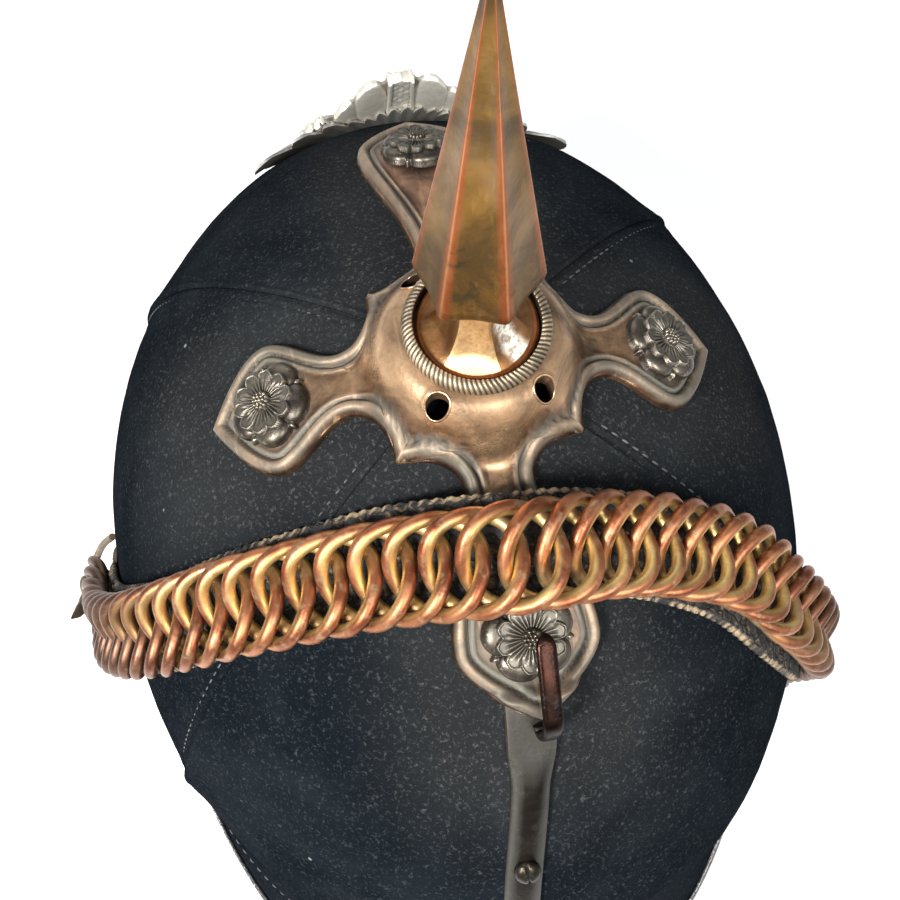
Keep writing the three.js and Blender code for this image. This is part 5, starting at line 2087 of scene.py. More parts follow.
@dataclass
class BackFittings:
    """The spine down the back, its screw stud, and the hook that holds the chain's end."""

    form: HelmetForm
    shop: Workshop
    metal: MetalFinish
    hook_metal: MetalFinish
    cross_back: float = 65.0
    head_half: float = 4.8
    half: float = 3.6
    start: float = 61.5
    end_level: float = 1.95
    thickness: float = 1.0
    crown: float = 1.4
    stud_reach: float = 90.0
    stud_radius: float = 2.6
    stud_height: float = 2.0
    hook_x: float = -3.6
    hook_half: float = 1.8
    hook_thickness: float = 1.6
    hook_root: float = 65.35
    hook_bend: float = 65.7
    hook_bend_depth: float = 1.8
    hook_lean: float = 0.5
    hook_end: float = 48.9
    hook_stand_off: float = 9.0
    lean: float = 7.0
    lean_from: float = 60.0
    lean_to: float = 108.0

    def build(self) -> None:
        """Builds the spine, the stud and the hook."""
        self.shop.dress(self.spine(), self.metal, Slot.BRONZE, ["spine"])
        self.shop.dress(self.stud(), self.metal, Slot.BRONZE, ["spine_stud"])
        self.shop.dress(self.hook(), self.hook_metal, Slot.BRONZE, ["strap_hook"])

    def spine_angle(self, level: Amount, aside: Amount = 0.0) -> Array:
        """The plan angle, at a level, a distance to one side of the spine's middle line."""
        lean = self.lean * smooth_step(self.lean_from, self.lean_to, self.form.at(math.pi / 2, level)[..., 1])
        return np.arccos((lean + aside) / self.form.at(0.0, level)[..., 0])

    def spine(self) -> Piece:
        """The spine: a flat wide head, then a crowned strip with bevelled edges.

        Returns:
            The spine.
        """
        level = np.linspace(float(self.form.level_behind(self.start)), self.end_level, 150)
        share = np.array([-1, -0.99, -0.93, -0.84, -0.74, -0.6, -0.4, -0.2, 0,
                          0.2, 0.4, 0.6, 0.74, 0.84, 0.93, 0.99, 1])
        level_grid, share_grid = np.meshgrid(level, share, indexing="ij")
        base = self.form.at(self.spine_angle(level_grid), level_grid)
        full = smooth_step(self.cross_back + 4, self.cross_back + 12, base[..., 1])
        half = mix(self.head_half, self.half, full)
        edge = (1 - np.abs(share_grid)) * half
        bevel = np.sqrt(np.clip(edge / 0.35, 0, 1)) * self.thickness
        crowned = self.crown * full * np.maximum(1 - (share_grid / 0.8) ** 2, 0) ** 0.8
        rail = 0.18 * bump(edge - 0.45, 0.25) * full
        rise = GAP + bevel + crowned + rail + self.form.band_lift(base[..., 2])
        angle = self.spine_angle(level_grid, share_grid * half)
        top = self.form.off(angle, level_grid, rise)
        bottom = self.form.off(angle, level_grid, GAP + self.form.band_lift(base[..., 2]))
        aged = 0.85 * smooth_step(0.42, 0.8, np.abs(share_grid)) * full + 0.6 * (1 - full)
        made = Shape()
        made.shell(top, bottom, masks={"aged": aged, "rubbed": 0.35 * bump(edge - 0.3, 0.3)})
        return made.made("back_spine", crease=50)

    def stud(self) -> Piece:
        """The slotted screw head on the spine.

        Returns:
            The stud.
        """
        level = float(self.form.level_behind(self.stud_reach))
        angle = float(self.spine_angle(level))
        out = self.form.normal(angle, level)
        seat = GAP + self.thickness + self.crown * 0.75
        radius, height = self.stud_radius, self.stud_height
        turn = np.linspace(0, math.pi / 2, 8)
        profile = np.array([[0.02, 0], [radius * 0.96, 0], [radius, 0.25]]
                           + [[radius * max(math.cos(t), 0.02) ** 0.7, 0.35 + (height - 0.35) * math.sin(t)]
                              for t in turn[1:]])
        points = turned(profile, 48)
        slot = bump(points[..., 0], 0.32) * (points[..., 2] > height * 0.55)
        points[..., 2] = points[..., 2] - 0.55 * slot
        made = Shape()
        # The screw's slot is darkened.
        made.tube(stood(points, self.form.at(angle, level) + out * seat, out), masks={"recess_dark": 0.7 * slot})
        return made.made("spine_screw", crease=60)

    def hook(self) -> Piece:
        """The hook: a strip from under the leaf that turns over and comes forward as a rounded bar.

        Returns:
            The hook.
        """
        thick = self.hook_thickness / 2
        low, high = 3 * GAP + self.thickness + thick, self.hook_stand_off + thick
        middle, radius = (low + high) / 2, (high - low) / 2
        stations = [(self.hook_root, low)]
        for turn in np.linspace(0, math.pi, 15):
            offset = middle - radius * math.cos(turn)
            bend = self.hook_bend + self.hook_bend_depth * math.sin(turn)
            stations.append((bend - self.hook_lean * (offset - low), offset))
        stations += [(y, high) for y in np.linspace(stations[-1][0], self.hook_end, 22)[1:]]
        reach, offset = np.array(stations).T
        along = np.linspace(0, 1, len(reach))
        path = self.form.above(self.hook_x + mix(2.2, 0.8, along), reach, offset)
        size = np.ones(len(path))
        size[-4:] = [0.97, 0.86, 0.62, 0.15]
        sideways = np.broadcast_to(np.array([1.0, 0, 0]), path.shape)
        ahead = unit(np.gradient(path, axis=0))
        out = unit(np.cross(ahead, sideways))
        turn = whole_turn(24)
        across = self.hook_half * np.sign(np.cos(turn)) * np.abs(np.cos(turn)) ** 0.55
        depth = thick * np.sign(np.sin(turn)) * np.abs(np.sin(turn)) ** 0.8
        aged = 0.5 * smooth_step(0.2, 0.05, along)[:, None]
        made = Shape()
        made.tube(swept(path, sideways, out, np.stack([across, depth], -1), size), masks={"aged": aged})
        return made.made("chain_hook", crease=70)


# ---------------------------------------------------------------- chin chain, its strap and the side bosses


@dataclass(frozen=True)
class ChainFinish:
    """Ring bronze: copper-red where the rings ride high, yellow brass in their insides, grey film between."""

    name: str = "ring_bronze"
    red: Colour = (0.20, 0.058, 0.027)
    orange: Colour = (0.38, 0.155, 0.072)
    brass: Colour = (0.74, 0.54, 0.21)
    film: Colour = (0.30, 0.23, 0.14)
    brown: Colour = (0.062, 0.045, 0.036)

    def material(self) -> Material:
        """The chain's material. Masks: high, inward, ends.

        Returns:
            The material.
        """
        made, sheet, shader = new_material(self.name)
        mottled = Mottling.put(sheet, Patch_scale=120.0, Grain_scale=2200.0)
        edges = EdgeWear.put(sheet, Reach=0.12)
        base = sheet.blend(mottled["Patches"], self.red, self.orange)
        low = sheet.step(sheet.plus(sheet.mask("high"), sheet.times(mottled["Patches"], 0.25)),
                         0.62, 0.2)
        base = sheet.blend(low, base, self.film)
        inward = sheet.times(sheet.mask("inward"), sheet.between(mottled["Patches"], 0.65, 1.1), clamp=True)
        base = sheet.blend(inward, base, self.brass)
        base = sheet.blend(sheet.times(mottled["Spots"], 0.65), base, self.film)
        base = sheet.blend(sheet.times(sheet.mask("ends"), 0.85), base, self.brown)
        base = sheet.blend(sheet.times(edges["Edge"], 0.2), base, self.orange)
        sheet.feed(shader.inputs["Metallic"], sheet.between(sheet.times(mottled["Spots"], 0.6), 0.95, 0.6))
        rough = sheet.between(mottled["Patches"], 0.36, 0.44)
        rough = sheet.between(low, rough, 0.46)
        rough = sheet.plus(rough, sheet.times(mottled["Grain"], 0.08))
        sheet.dress(shader, base, rough, mottled["Grain"], 0.15)
        return made


@dataclass
class ChinChain:
    """The chain of interlocked rings over the back of the dome, on its leather strap."""

    form: HelmetForm
    shop: Workshop
    metal: ChainFinish
    leather: LeatherFinish
    ring_radius: float = 8.25
    wire: float = 1.32
    pitch: float = 6.6
    twist: float = 2.05
    segments: int = 8
    height: float = 4.2
    strap_half: float = 9.7
    strap_thickness: float = 1.4
    strap_clearance: float = 0.35
    strap_start: float = 10.1
    strap_end: float = 0.5
    first_link: float = 4.95
    arch_height: float = 6.8
    arch_reach: float = 30.0
    arch_round: float = 0.2
    scallop: float = 2.3
    ring_steps: int = 64
    wire_sides: int = 14

    def route(self) -> Array:
        """The chain's course: the side angle, from the wearer's left, and the distance behind the spike."""
        return np.array([[2, 8], [16, 23.6], [35, 31.6], [60, 34.5], [90, 36.8], [104, 38], [120, 42.7],
                         [135, 51.5], [150, 57.2], [165, 58.2], [192, 57.5]], float)

    def arch(self, points: Array) -> Array:
        """How far the chain is held off the cloth by the back arm and its rose.

        Args:
            points: Points on the dome.

        Returns:
            The lift at each point.
        """
        away = np.abs(points[..., 0] - self.form.top_axis) / self.arch_reach
        rounded = np.hypot(away, self.arch_round) - self.arch_round
        return self.arch_height * np.maximum(1 - rounded, 0) ** 2

    def frames(self, count: int, height: float, start: float,
               end: float) -> tuple[Array, Array, Array, Array, float]:
        """Evenly spaced places along the chain's course.

        Args:
            count: How many places.
            height: Their height over the cloth.
            start: How much of the course is left free at the boss.
            end: How much of it is left free at the loose end.

        Returns:
            The points, the directions ahead, across and out, and the length between the first and last.
        """
        course = smooth_route(self.route(), 480)
        foot = self.form.at_side_angle(course[:, 0], course[:, 1])
        normal = self.form.dome_normal(foot)
        line = foot + normal * (height + self.arch(foot))[:, None]
        steps = np.linalg.norm(np.diff(line, axis=0), axis=1)
        length = np.concatenate([[0], np.cumsum(steps)])
        target = np.linspace(start, length[-1] - end, count)
        points = rows_at(line, length, target)
        out = unit(rows_at(normal, length, target))
        step = 3.0
        before = rows_at(line, length, target - step)
        after = rows_at(line, length, target + step)
        ahead = unit(after - before)
        out = unit(out - ahead * (out * ahead).sum(-1, keepdims=True))
        return points, ahead, unit(np.cross(out, ahead)), out, float(length[-1] - start - end)

    def build(self) -> None:
        """Builds the rings in groups and the strap under them."""
        height = self.strap_clearance + self.strap_thickness + self.height
        last_link = self.ring_radius + self.wire
        total = self.frames(2, height, self.first_link, last_link)[4]
        count = round(total / self.pitch) + 1
        points, ahead, across, out, _ = self.frames(count, height, self.first_link, last_link)
        rng = np.random.default_rng(12)
        for segment in range(self.segments):
            made = Shape()
            first = round(segment * count / self.segments)
            last = round((segment + 1) * count / self.segments)
            for ring in range(first, last):
                wobble = rng.normal(0, 1, 3)
                middle = abs(2 * ring / (count - 1) - 1)
                self.add_ring(made, points[ring], ahead[ring], across[ring], out[ring], wobble,
                              float(smooth_step(0.38, 0.78, middle)))
            piece = made.made(f"chain_rings_{segment + 1}")
            self.shop.dress(piece, self.metal, Slot.CHAIN, [f"chain_{segment + 1}"])
        self.shop.dress(self.strap(), self.leather, Slot.STRAP, ["chain_strap"])

    def add_ring(self, made: Shape, centre: Array, ahead: Array, across: Array, out: Array, wobble: Array,
                 ends: float) -> None:
        """Adds one ring, bent so that it lies over one neighbour and under the other.

        Args:
            made: The shape.
            centre: The ring's middle.
            ahead: The direction along the chain.
            across: The direction across it.
            out: The direction off the cloth.
            wobble: Small chances that vary the ring.
            ends: How near the ring is to the chain's ends.
        """
        turn = whole_turn(self.ring_steps)
        saddle = -self.twist * np.sin(2 * turn)
        radius = self.ring_radius + 0.03 * wobble[0]
        centre = centre + across * 0.12 * wobble[1]
        path = (centre + radius * (np.cos(turn)[:, None] * ahead + np.sin(turn)[:, None] * across)
                + saddle[:, None] * out)
        inward = -unit(np.cos(turn)[:, None] * ahead + np.sin(turn)[:, None] * across)
        tangent = unit(np.roll(path, -1, 0) - np.roll(path, 1, 0))
        rise = unit(np.cross(tangent, np.cross(np.broadcast_to(out, path.shape), tangent)))
        side = unit(np.cross(rise, tangent))
        stations = swept(path, side, rise, round_outline(self.wire, self.wire_sides))
        direction = unit(stations - path[:, None])
        facing_in = (direction * inward[:, None]).sum(-1)
        facing_out = (direction * out).sum(-1)
        low = 0.3 * smooth_step(0.2, -0.9, saddle[:, None] / 2)
        made.tube(stations, closed=True, masks={
            "high": np.clip(0.5 + saddle[:, None] / (2.2 * self.twist) + 0.3 * facing_out, 0, 1),
            "inward": np.clip(smooth_step(0.1, 0.85, facing_in) + low, 0, 1) * (1 - ends),
            "ends": np.full(stations.shape[:2], ends),
        })

    def strap(self) -> Piece:
        """The leather strap: crumpled, with a pinked scalloped edge on both sides.

        Returns:
            The strap.
        """
        count = 420
        points, ahead, across, out, length = self.frames(
            count, self.strap_clearance + self.strap_thickness / 2, self.strap_start, self.strap_end)
        along = np.linspace(0, length, count)
        scallops = 0.55 * np.abs(np.sin(along / self.scallop * math.pi)) - 0.3
        share = np.array([-1, -0.985, -0.95, -0.91, -0.86, -0.8, -0.7, -0.6, -0.5, -0.4, -0.3, -0.2, -0.1, 0,
                          0.1, 0.2, 0.3, 0.4, 0.5, 0.6, 0.7, 0.8, 0.86, 0.91, 0.95, 0.985, 1])
        half = self.strap_half + scallops + 0.15 * np.sin(along / 13) + 0.1 * np.sin(along / 5.3)
        thick = self.strap_thickness / 2
        spread = share[None] * half[:, None]
        crumple = Ripples(seed=5, wavelength=5.5, height=0.14, waves=20)
        fold = Ripples(seed=15, wavelength=2.4, height=0.07, waves=20)
        part = along / length
        shift = 1.9 * bump(part - 0.4, 0.13) - 2.1 * bump(part - 0.72, 0.15)
        flat = points[:, None] + across[:, None] * (shift[:, None] + spread)[..., None]
        edge = smooth_step(0, 0.8, (1 - np.abs(share[None])) * half[:, None])
        welt = 0.25 * bump((1 - np.abs(share[None])) * half[:, None] - 1.0, 0.45)
        rise = thick * mix(0.25, 1, edge) + (crumple.at(flat) + fold.at(flat)) * edge + welt
        top = flat + out[:, None] * rise[..., None]
        bottom = flat - out[:, None] * np.broadcast_to(thick, spread.shape)[..., None]
        dashes = smooth_step(-0.2, 0.5, np.sin(along / self.scallop * TURN) + np.sin(along * 0.37))[:, None]
        rim = dashes * smooth_step(0.8, 0.45, (1 - np.abs(share[None])) * half[:, None])
        worn = 0.8 * smooth_step(length - 9, length, along)[:, None]
        made = Shape()
        made.shell(top, bottom, masks={"edge": rim, "worn": worn})
        return made.made("chain_backing")


@dataclass
class SideBosses:
    """The rosette bosses of both sides with their pins, and the left one's knob, wire loop and leaf hook."""

    form: HelmetForm
    shop: Workshop
    metal: MetalFinish
    y: float = 8.0
    side_angle: float = 2.0
    radius: float = 9.5
    thickness: float = 1.6
    pin_radius: float = 1.6
    pin_height: float = 9.2
    stub_height: float = 3.0
    knob_radius: float = 3.2
    knob_height: float = 2.6
    wire: float = 1.0

    def build(self) -> None:
        """Builds both bosses, and the hook that the chain's left end hangs on."""
        for side in Side:
            word = side.name.lower()
            foot, out = self.seat(side)
            self.shop.dress(self.boss(side, foot, out), self.metal, Slot.BRONZE, [f"side_boss_{word}"])
            if side is Side.LEFT:
                self.shop.dress(self.hook(foot, out), self.metal, Slot.BRONZE, [f"boss_hook_{word}"])

    def seat(self, side: Side) -> tuple[Array, Array]:
        """The boss's foot and the direction it faces.

        Args:
            side: The wearer's side.

        Returns:
            The foot and the direction.
        """
        angle = self.side_angle if side is Side.LEFT else 180 - self.side_angle
        foot = self.form.at_side_angle(np.array(angle, float), np.array(self.y))
        out = self.form.dome_normal(foot)
        return foot + out * 2 * GAP, out

    def boss(self, side: Side, foot: Array, out: Array) -> Piece:
        """A rosette of overlapping leaves with a beaded rim and a pin.

        Args:
            side: The wearer's side.
            foot: The boss's foot.
            out: The direction it faces.

        Returns:
            The boss.
        """
        made = Shape()
        radius = np.linspace(0.02, 1, 60) * self.radius
        angle = whole_turn(240)
        radius_grid, angle_grid = np.meshgrid(radius, angle, indexing="ij")
        petals = np.abs(np.cos(angle_grid * 4)) ** 0.5
        inner_reach = mix(3.4, 6.2, petals)
        bead = half_round(np.abs(radius_grid - 8.5), 0.75) * (0.4 + 0.35 * np.abs(np.sin(angle_grid * 24)))
        leaf = 0.7 * smooth_step(0, 0.6, inner_reach - radius_grid)
        leaf = leaf + 0.25 * bump(np.sin(angle_grid * 4), 0.25)
        height = 0.5 + np.maximum(bead, leaf * (radius_grid < 7)) * (self.thickness - 0.4)
        height = np.where(radius_grid > self.radius - 0.12, 0.0, height)
        local = point(radius_grid * np.cos(angle_grid), radius_grid * np.sin(angle_grid), height)
        # The low ground between the leaves is darkened.
        masks = {"aged": 0.5 * (leaf > 0.3), "recess_dark": 0.5 * (height < 0.55), "rubbed": 0.4 * (bead > 0.6)}
        made.grid(stood(local, foot, out), closed=True, masks=masks)
        base = turned(np.array([[0.02, 0], [self.radius, 0], [self.radius, 0.05]]), 240)
        made.tube(stood(base, foot, out))
        high = self.pin_height if side is Side.LEFT else self.stub_height
        wide = self.pin_radius * 1.25
        slim = self.pin_radius
        pin = np.array([[0.02, 0.4], [slim, 0.4], [slim, 0.45 * high], [wide, 0.47 * high],
                        [wide, 0.55 * high], [slim, 0.57 * high], [slim, high], [0.02, high]])
        made.tube(stood(turned(pin, 28), foot, out), masks={"aged": 0.3})
        return made.made(f"rosette_boss_{side.name.lower()}", crease=50)

    def hook(self, foot: Array, out: Array) -> Piece:
        """The knob on the pin, a bent wire loop and a slotted leaf-shaped hook.

        Args:
            foot: The boss's foot.
            out: The direction it faces.

        Returns:
            The hook.
        """
        made = Shape()

        def place(back: float, up: float, off: float) -> Array:
            """A point beside the boss's centre."""
            return foot + out * off + np.array([0, back, up])

        turn = np.linspace(-math.pi / 2, math.pi / 2, 14)
        knob = np.array([[max(self.knob_radius * math.cos(t) ** 0.6 if math.cos(t) > 1e-6 else 0.0, 0.02),
                          self.knob_height / 2 * (1 + math.sin(t))] for t in turn])
        made.tube(stood(turned(knob, 32), place(0, 0, self.pin_height + GAP), out), masks={"aged": 0.4})
        leaf = np.array([place(0, 0, 10.8), place(3, 1, 10.9), place(6, 3, 11.2), place(9.5, 7.5, 12.4)])
        path = smooth_route(leaf, 40)
        share = np.linspace(0, 1, 41)
        width = np.interp(share, [0, 0.12, 0.3, 0.55, 0.8, 0.95, 1], [1.5, 1.3, 2.1, 2.5, 1.7, 0.6, 0.15])
        across, rise = frames_along(path, out)
        lens = whole_turn(20)
        outline = np.stack([np.cos(lens), 0.34 * np.sin(lens)], -1)
        stations = swept(path, across, rise, outline, width)
        slot = bump(np.cos(lens)[None], 0.3) * (np.sin(lens)[None] > 0)
        slot = slot * smooth_step(0.3, 0.4, share[:, None]) * smooth_step(0.85, 0.75, share[:, None])
        stations = stations - rise[:, None] * (0.45 * slot)[..., None]
        # The hook's slot is darkened.
        made.tube(stations, masks={"recess_dark": 0.8 * slot, "aged": 0.5})
        loop = np.array([place(0, 0, 10.6), place(-5, -3, 10.2), place(-9, -2, 8), place(-10, 3, 4.6),
                         place(-10, 7.5, 0.8)])
        line = smooth_route(loop, 44)
        across, rise = frames_along(line, out)
        made.tube(swept(line, across, rise, round_outline(self.wire, 12)), masks={"aged": 0.4})
        return made.made("leaf_hook", crease=60)


# ---------------------------------------------------------------- front plate


@dataclass
class FrontPlate:
    """The struck silver plate: an eight-rayed star, a laurel wreath round a plain boss, and a crown."""

    form: HelmetForm
    shop: Workshop
    metal: MetalFinish
    crown_metal: MetalFinish
    centre_height: float = 92.0
    foot_y: float = -115.2
    tilt: float = 0.327
    bend: float = 44.0
    stand_off: float = 1.0
    blend: float = 1.2
    thickness: float = 1.6
    layer: float = 1.6
    crooked: float = 0.055
    long_rays: tuple[float, ...] = (37, 63, 56, 54, 46, 54, 56, 58)
    valley: float = 37.0
    splits: int = 7
    wreath_radius: float = 18.0
    wreath_inside: float = 13.1
    boss_radius: float = 12.4
    x: float = -4.5
    crown_half: float = 29.4
    crown_foot: float = 110.6
    crown_sweep: float = 0.0233
    table: dict[str, Array] = field(default_factory=dict)

    def build(self) -> None:
        """Builds the star, the wreath and the crown."""
        x, z = np.linspace(-64, 64, 65), np.linspace(24, 156, 67)
        x_grid, z_grid = np.meshgrid(x, z, indexing="ij")
        body = self.form.front_at(x_grid + self.x, z_grid)[..., 1]
        self.table = {"x": x, "z": z, "y": body - GAP - self.stand_off - self.form.band_lift(z_grid)}
        self.shop.dress(self.star(), self.metal, Slot.SILVER, ["plate_star"])
        self.shop.dress(self.wreath(), self.metal, Slot.SILVER, ["plate_wreath"])
        self.shop.dress(self.crown(), self.crown_metal, Slot.SILVER, ["plate_crown"])

    def touching(self, x: Array, z: Array) -> Array:
        """How far forward the plate lies where it follows the cloth.

        Args:
            x: Places to the wearer's left.
            z: Heights over the floor.

        Returns:
            The y of each place.
        """
        grid = self.table["y"]
        column = np.clip((x - self.table["x"][0]) / np.diff(self.table["x"])[0], 0, grid.shape[0] - 1.001)
        row = np.clip((z - self.table["z"][0]) / np.diff(self.table["z"])[0], 0, grid.shape[1] - 1.001)
        i, j = column.astype(int), row.astype(int)
        u, v = column - i, row - j
        return mix(mix(grid[i, j], grid[i + 1, j], u), mix(grid[i, j + 1], grid[i + 1, j + 1], u), v)

    def at(self, x: Array, z: Array, lift: Amount) -> Array:
        """Points in front of the plate's back, over a place across and a height.

        Args:
            x: Places to the wearer's left.
            z: Heights over the floor.
            lift: How far in front of the plate's back.

        Returns:
            The points.
        """
        x, z, lift = np.broadcast_arrays(x, z, np.asarray(lift, float))
        free = self.foot_y + self.tilt * np.maximum(z - self.centre_height, 0) + x ** 2 / (2 * self.bend)
        touching = self.touching(x, z)
        gap = touching - free
        y = touching - (np.hypot(gap, self.blend) + gap) / 2
        return point(x + self.x, y - lift, z)

    def star(self) -> Piece:
        """The star: every long ray is a fan of pleats, stepped down to the valleys, with pointed ends.

        Returns:
            The star.
        """
        steps = 6
        columns = len(self.long_rays) * self.splits * steps
        place = np.arange(columns) / steps
        number = np.floor(place)
        inside = np.abs((place - number) * 2 - 1)
        fan = number % self.splits - (self.splits - 1) / 2
        long = np.array(self.long_rays)[(number // self.splits).astype(int)]
        reach = mix(long, self.valley - 1, (np.abs(fan) / (self.splits / 2)) ** 0.9) - 3.4 * inside ** 1.4
        angle = (place / self.splits - 0.5) / len(self.long_rays) * TURN - self.crooked
        share = np.concatenate([np.linspace(0.03, 0.94, 28), np.linspace(0.955, 1, 6)])
        share_grid, reach_grid = np.meshgrid(share, reach, indexing="ij")
        radius = share_grid * reach_grid
        x, z = radius * np.sin(angle), self.centre_height + radius * np.cos(angle)
        pleat = (1 - inside)[None] * 1.25 * smooth_step(0.15, 0.8, share_grid)
        pleat = pleat * mix(1.0, 0.35, smooth_step(0.9, 1.0, share_grid))
        centre_rise = 0.8 * bump(fan, 0.6)[None] * smooth_step(1.0, 0.7, share_grid)
        hammered = 0.12 * np.sin(radius * 2.1 + fan[None] * 1.7)
        back = self.at(x, z, 0.35 * pleat)
        front = self.at(x, z, 0.85 + pleat + centre_rise + hammered)
        # The valleys between the pleats are darkened.
        dark = 0.6 * smooth_step(0.75, 1.0, inside)[None] * smooth_step(0.2, 0.4, share_grid)
        rubbed = 0.7 * bump(inside, 0.25)[None]
        made = Shape()
        made.shell(front, back, closed=True, masks={"recess_dark": dark, "rubbed": rubbed},
                   inner_masks={"aged": 0.3})
        return made.made("eight_rayed_star", crease=40)

    def wreath(self) -> Piece:
        """The laurel wreath on its ring, and the plain boss inside it with a beaded border.

        Returns:
            The wreath and the boss as one piece.
        """
        made = Shape()
        lift = self.layer + 3 * GAP
        angle = whole_turn(180)
        rings = ((self.wreath_inside, self.wreath_radius - 0.6, 0.8), (0.01, self.boss_radius, 0.9))
        for inner, outer, thick in rings:
            radius = np.linspace(inner, outer, 16)
            radius_grid, angle_grid = np.meshgrid(radius, angle, indexing="ij")
            x, z = radius_grid * np.sin(angle_grid), self.centre_height + radius_grid * np.cos(angle_grid)
            face = np.full_like(radius_grid, thick)
            if inner < 1:
                beads = half_round(radius_grid - 11.2, 0.8) * (0.6 + 0.4 * np.abs(np.sin(angle_grid * 24)))
                face = thick + 2.0 * (1 - (radius_grid / 10.2).clip(0, 1) ** 2) + 0.8 * beads
            # A narrow ring where the boss's dome meets its beaded border is darkened.
            made.shell(self.at(x, z, lift + face), self.at(x, z, lift), closed=True,
                       masks={"recess_dark": 0.3 * (np.abs(radius_grid - 10.2) < 0.5)})
        for branch in (1, -1):
            for number in range(13):
                turn = math.pi - branch * (0.1 + number * (math.pi - 0.3) / 12)
                for spread in (-0.55, 0.55, 0.0):
                    self.leaf(made, turn, -branch, spread, lift + 0.7 + 0.5 * (spread == 0))
        self.knot(made, math.pi, lift + 0.8)
        return made.made("laurel_wreath", crease=50)

    def leaf(self, made: Shape, turn: float, way: int, spread: float, lift: float) -> None:
        """Adds one laurel leaf.

        Args:
            made: The shape.
            turn: The angle from the top where the leaf starts.
            way: The sign of the turn in which it points.
            spread: How far it leans to the side, as an angle.
            lift: Its height over the plate's back.
        """
        length, half = 6.2, 1.4
        middle = (self.wreath_inside + self.wreath_radius) / 2
        share = np.linspace(0, 1, 13)
        heading = turn + way * math.pi / 2 - way * spread
        x = middle * math.sin(turn) + share * length * math.sin(heading)
        z = self.centre_height + middle * math.cos(turn) + share * length * math.cos(heading)
        width = half * np.sin(math.pi * np.clip(share, 0.03, 0.985)) ** 0.8
        around = whole_turn(12)
        across = width[:, None] * np.cos(around)
        rise = 0.55 * np.sin(around) * np.sqrt(width / half)[:, None]
        rise = rise + 0.25 * bump(np.cos(around), 0.25)[None]
        curl = 0.9 * share[:, None] ** 2
        place_x = x[:, None] + across * math.cos(heading)
        place_z = z[:, None] - across * math.sin(heading)
        made.tube(self.at(place_x, place_z, lift + curl + rise + 0.5),
                  masks={"rubbed": np.broadcast_to(0.5 * bump(np.cos(around), 0.3), across.shape)})

    def knot(self, made: Shape, turn: float, lift: float) -> None:
        """Adds the ribbon's knot where the two branches meet.

        Args:
            made: The shape that takes the pieces.
            turn: Where it lies round the wreath.
            lift: How far it stands off the plate.
        """
        middle = (self.wreath_inside + self.wreath_radius) / 2
        centre = (middle * math.sin(turn), self.centre_height + middle * math.cos(turn))
        around, tilt = np.meshgrid(whole_turn(24), np.linspace(0.05, math.pi - 0.05, 12))
        for shift, wide, high in ((0, 1.7, 2.6), (3.4, 2.6, 1.5), (-3.4, 2.6, 1.5)):
            x = centre[0] + shift + wide * np.sin(tilt) * np.cos(around)
            z = centre[1] + high * np.sin(tilt) * np.sin(around)
            made.tube(self.at(x, z, lift + 1.2 + 1.2 * np.cos(tilt)))

    def crown_outline(self, x: Array) -> Array:
        """Height of the crown's upper edge: knobbed arch, a large and a small lobe a side, the rim's end.

        Args:
            x: Distances from the crown's middle.

        Returns:
            The heights.
        """
        rows = np.array([(0, 142.9), (0.9, 142.6), (3.8, 142.3), (4.4, 140.9), (5.2, 140.8), (6.5, 141.7),
                         (8, 142), (10, 141.2), (12, 138.4), (13.2, 136.1), (15, 136.1), (17, 134.8),
                         (19, 131.8), (21, 133.1), (23, 133.7), (26.5, 132.8), (30, 131.6)])
        reach = np.abs(x)
        return np.interp(reach, rows[:, 0], rows[:, 1]) + 0.3 * np.abs(np.sin(reach * 1.15)) * (reach > 19)

    def crown_relief(self, x: Array, z: Array) -> tuple[Array, dict[str, Array]]:
        """The crown's relief over its flat ground, and the finish's masks.

        Args:
            x: Places to the wearer's left.
            z: Heights over the floor.

        Returns:
            The relief and the masks.
        """
        reach = np.abs(x)
        foot = self.crown_foot + self.crown_sweep * x ** 2
        row = 118.6 + 0.029 * reach ** 2
        edge = mix(4.3, 3.6, smooth_step(112, 142, z)) - reach
        cord = half_round(edge - 0.6, 0.6) * (0.75 + 0.25 * np.abs(np.sin(z * 3.3)))
        emboss = 0.35 * np.maximum(np.cos(z * 2.1) * np.cos(reach * 1.9), 0)
        emboss = emboss + 0.2 * np.maximum(np.sin(z * 3.3 + x), 0)
        arch = np.where(edge > 0, 1.6 + np.maximum(cord, (edge > 1.2) * emboss), 0)
        over_row = smooth_step(0, 1.0, z - row)
        big = 2.4 * over_row * half_round(np.hypot((reach - 8.4) / 5.2, (z - 129.5) / 13.5), 1.0)
        small = 1.9 * over_row * half_round(np.hypot((reach - 15.6) / 4.2, (z - 127.5) / 9.5), 1.0)
        beaded = half_round(z - row, 0.8) * (0.4 + 0.6 * np.abs(np.sin(reach * 2.3)))
        bead = 1.6 * beaded * (reach > 7.8) * (reach < 23.5)
        below_row = smooth_step(0.8, 1.6, row - z + 6 * (reach > 23.5))
        ridge = np.abs(np.sin(reach * math.pi / 2.8))
        flute = below_row * smooth_step(0.2, 1.0, z - foot) * (0.5 + 1.4 * ridge ** 0.7) * (reach > 4.3)
        arc = np.hypot(x + 1.2, z - 117.6) - 5.2
        orb = 2.1 * half_round(arc, 0.8) * (z > 112)
        height = np.maximum.reduce([arch, big, small, bead, flute, orb, np.full_like(z, 0.3)])
        valley = smooth_step(0.5, 0.1, ridge) * (flute > 0.2) * (flute >= height)
        masks = {
            # The low ground and the valleys between the flutes are darkened.
            "recess_dark": np.clip(0.7 * smooth_step(0.7, 0.3, height) + 0.5 * valley, 0, 1),
            "rubbed": 0.5 * bump(edge - 0.6, 0.4) * (edge > 0) + 0.4 * (orb > 1.2) + 0.3 * (bead > 1),
            "aged": np.full_like(z, 0.35),
        }
        return height, masks

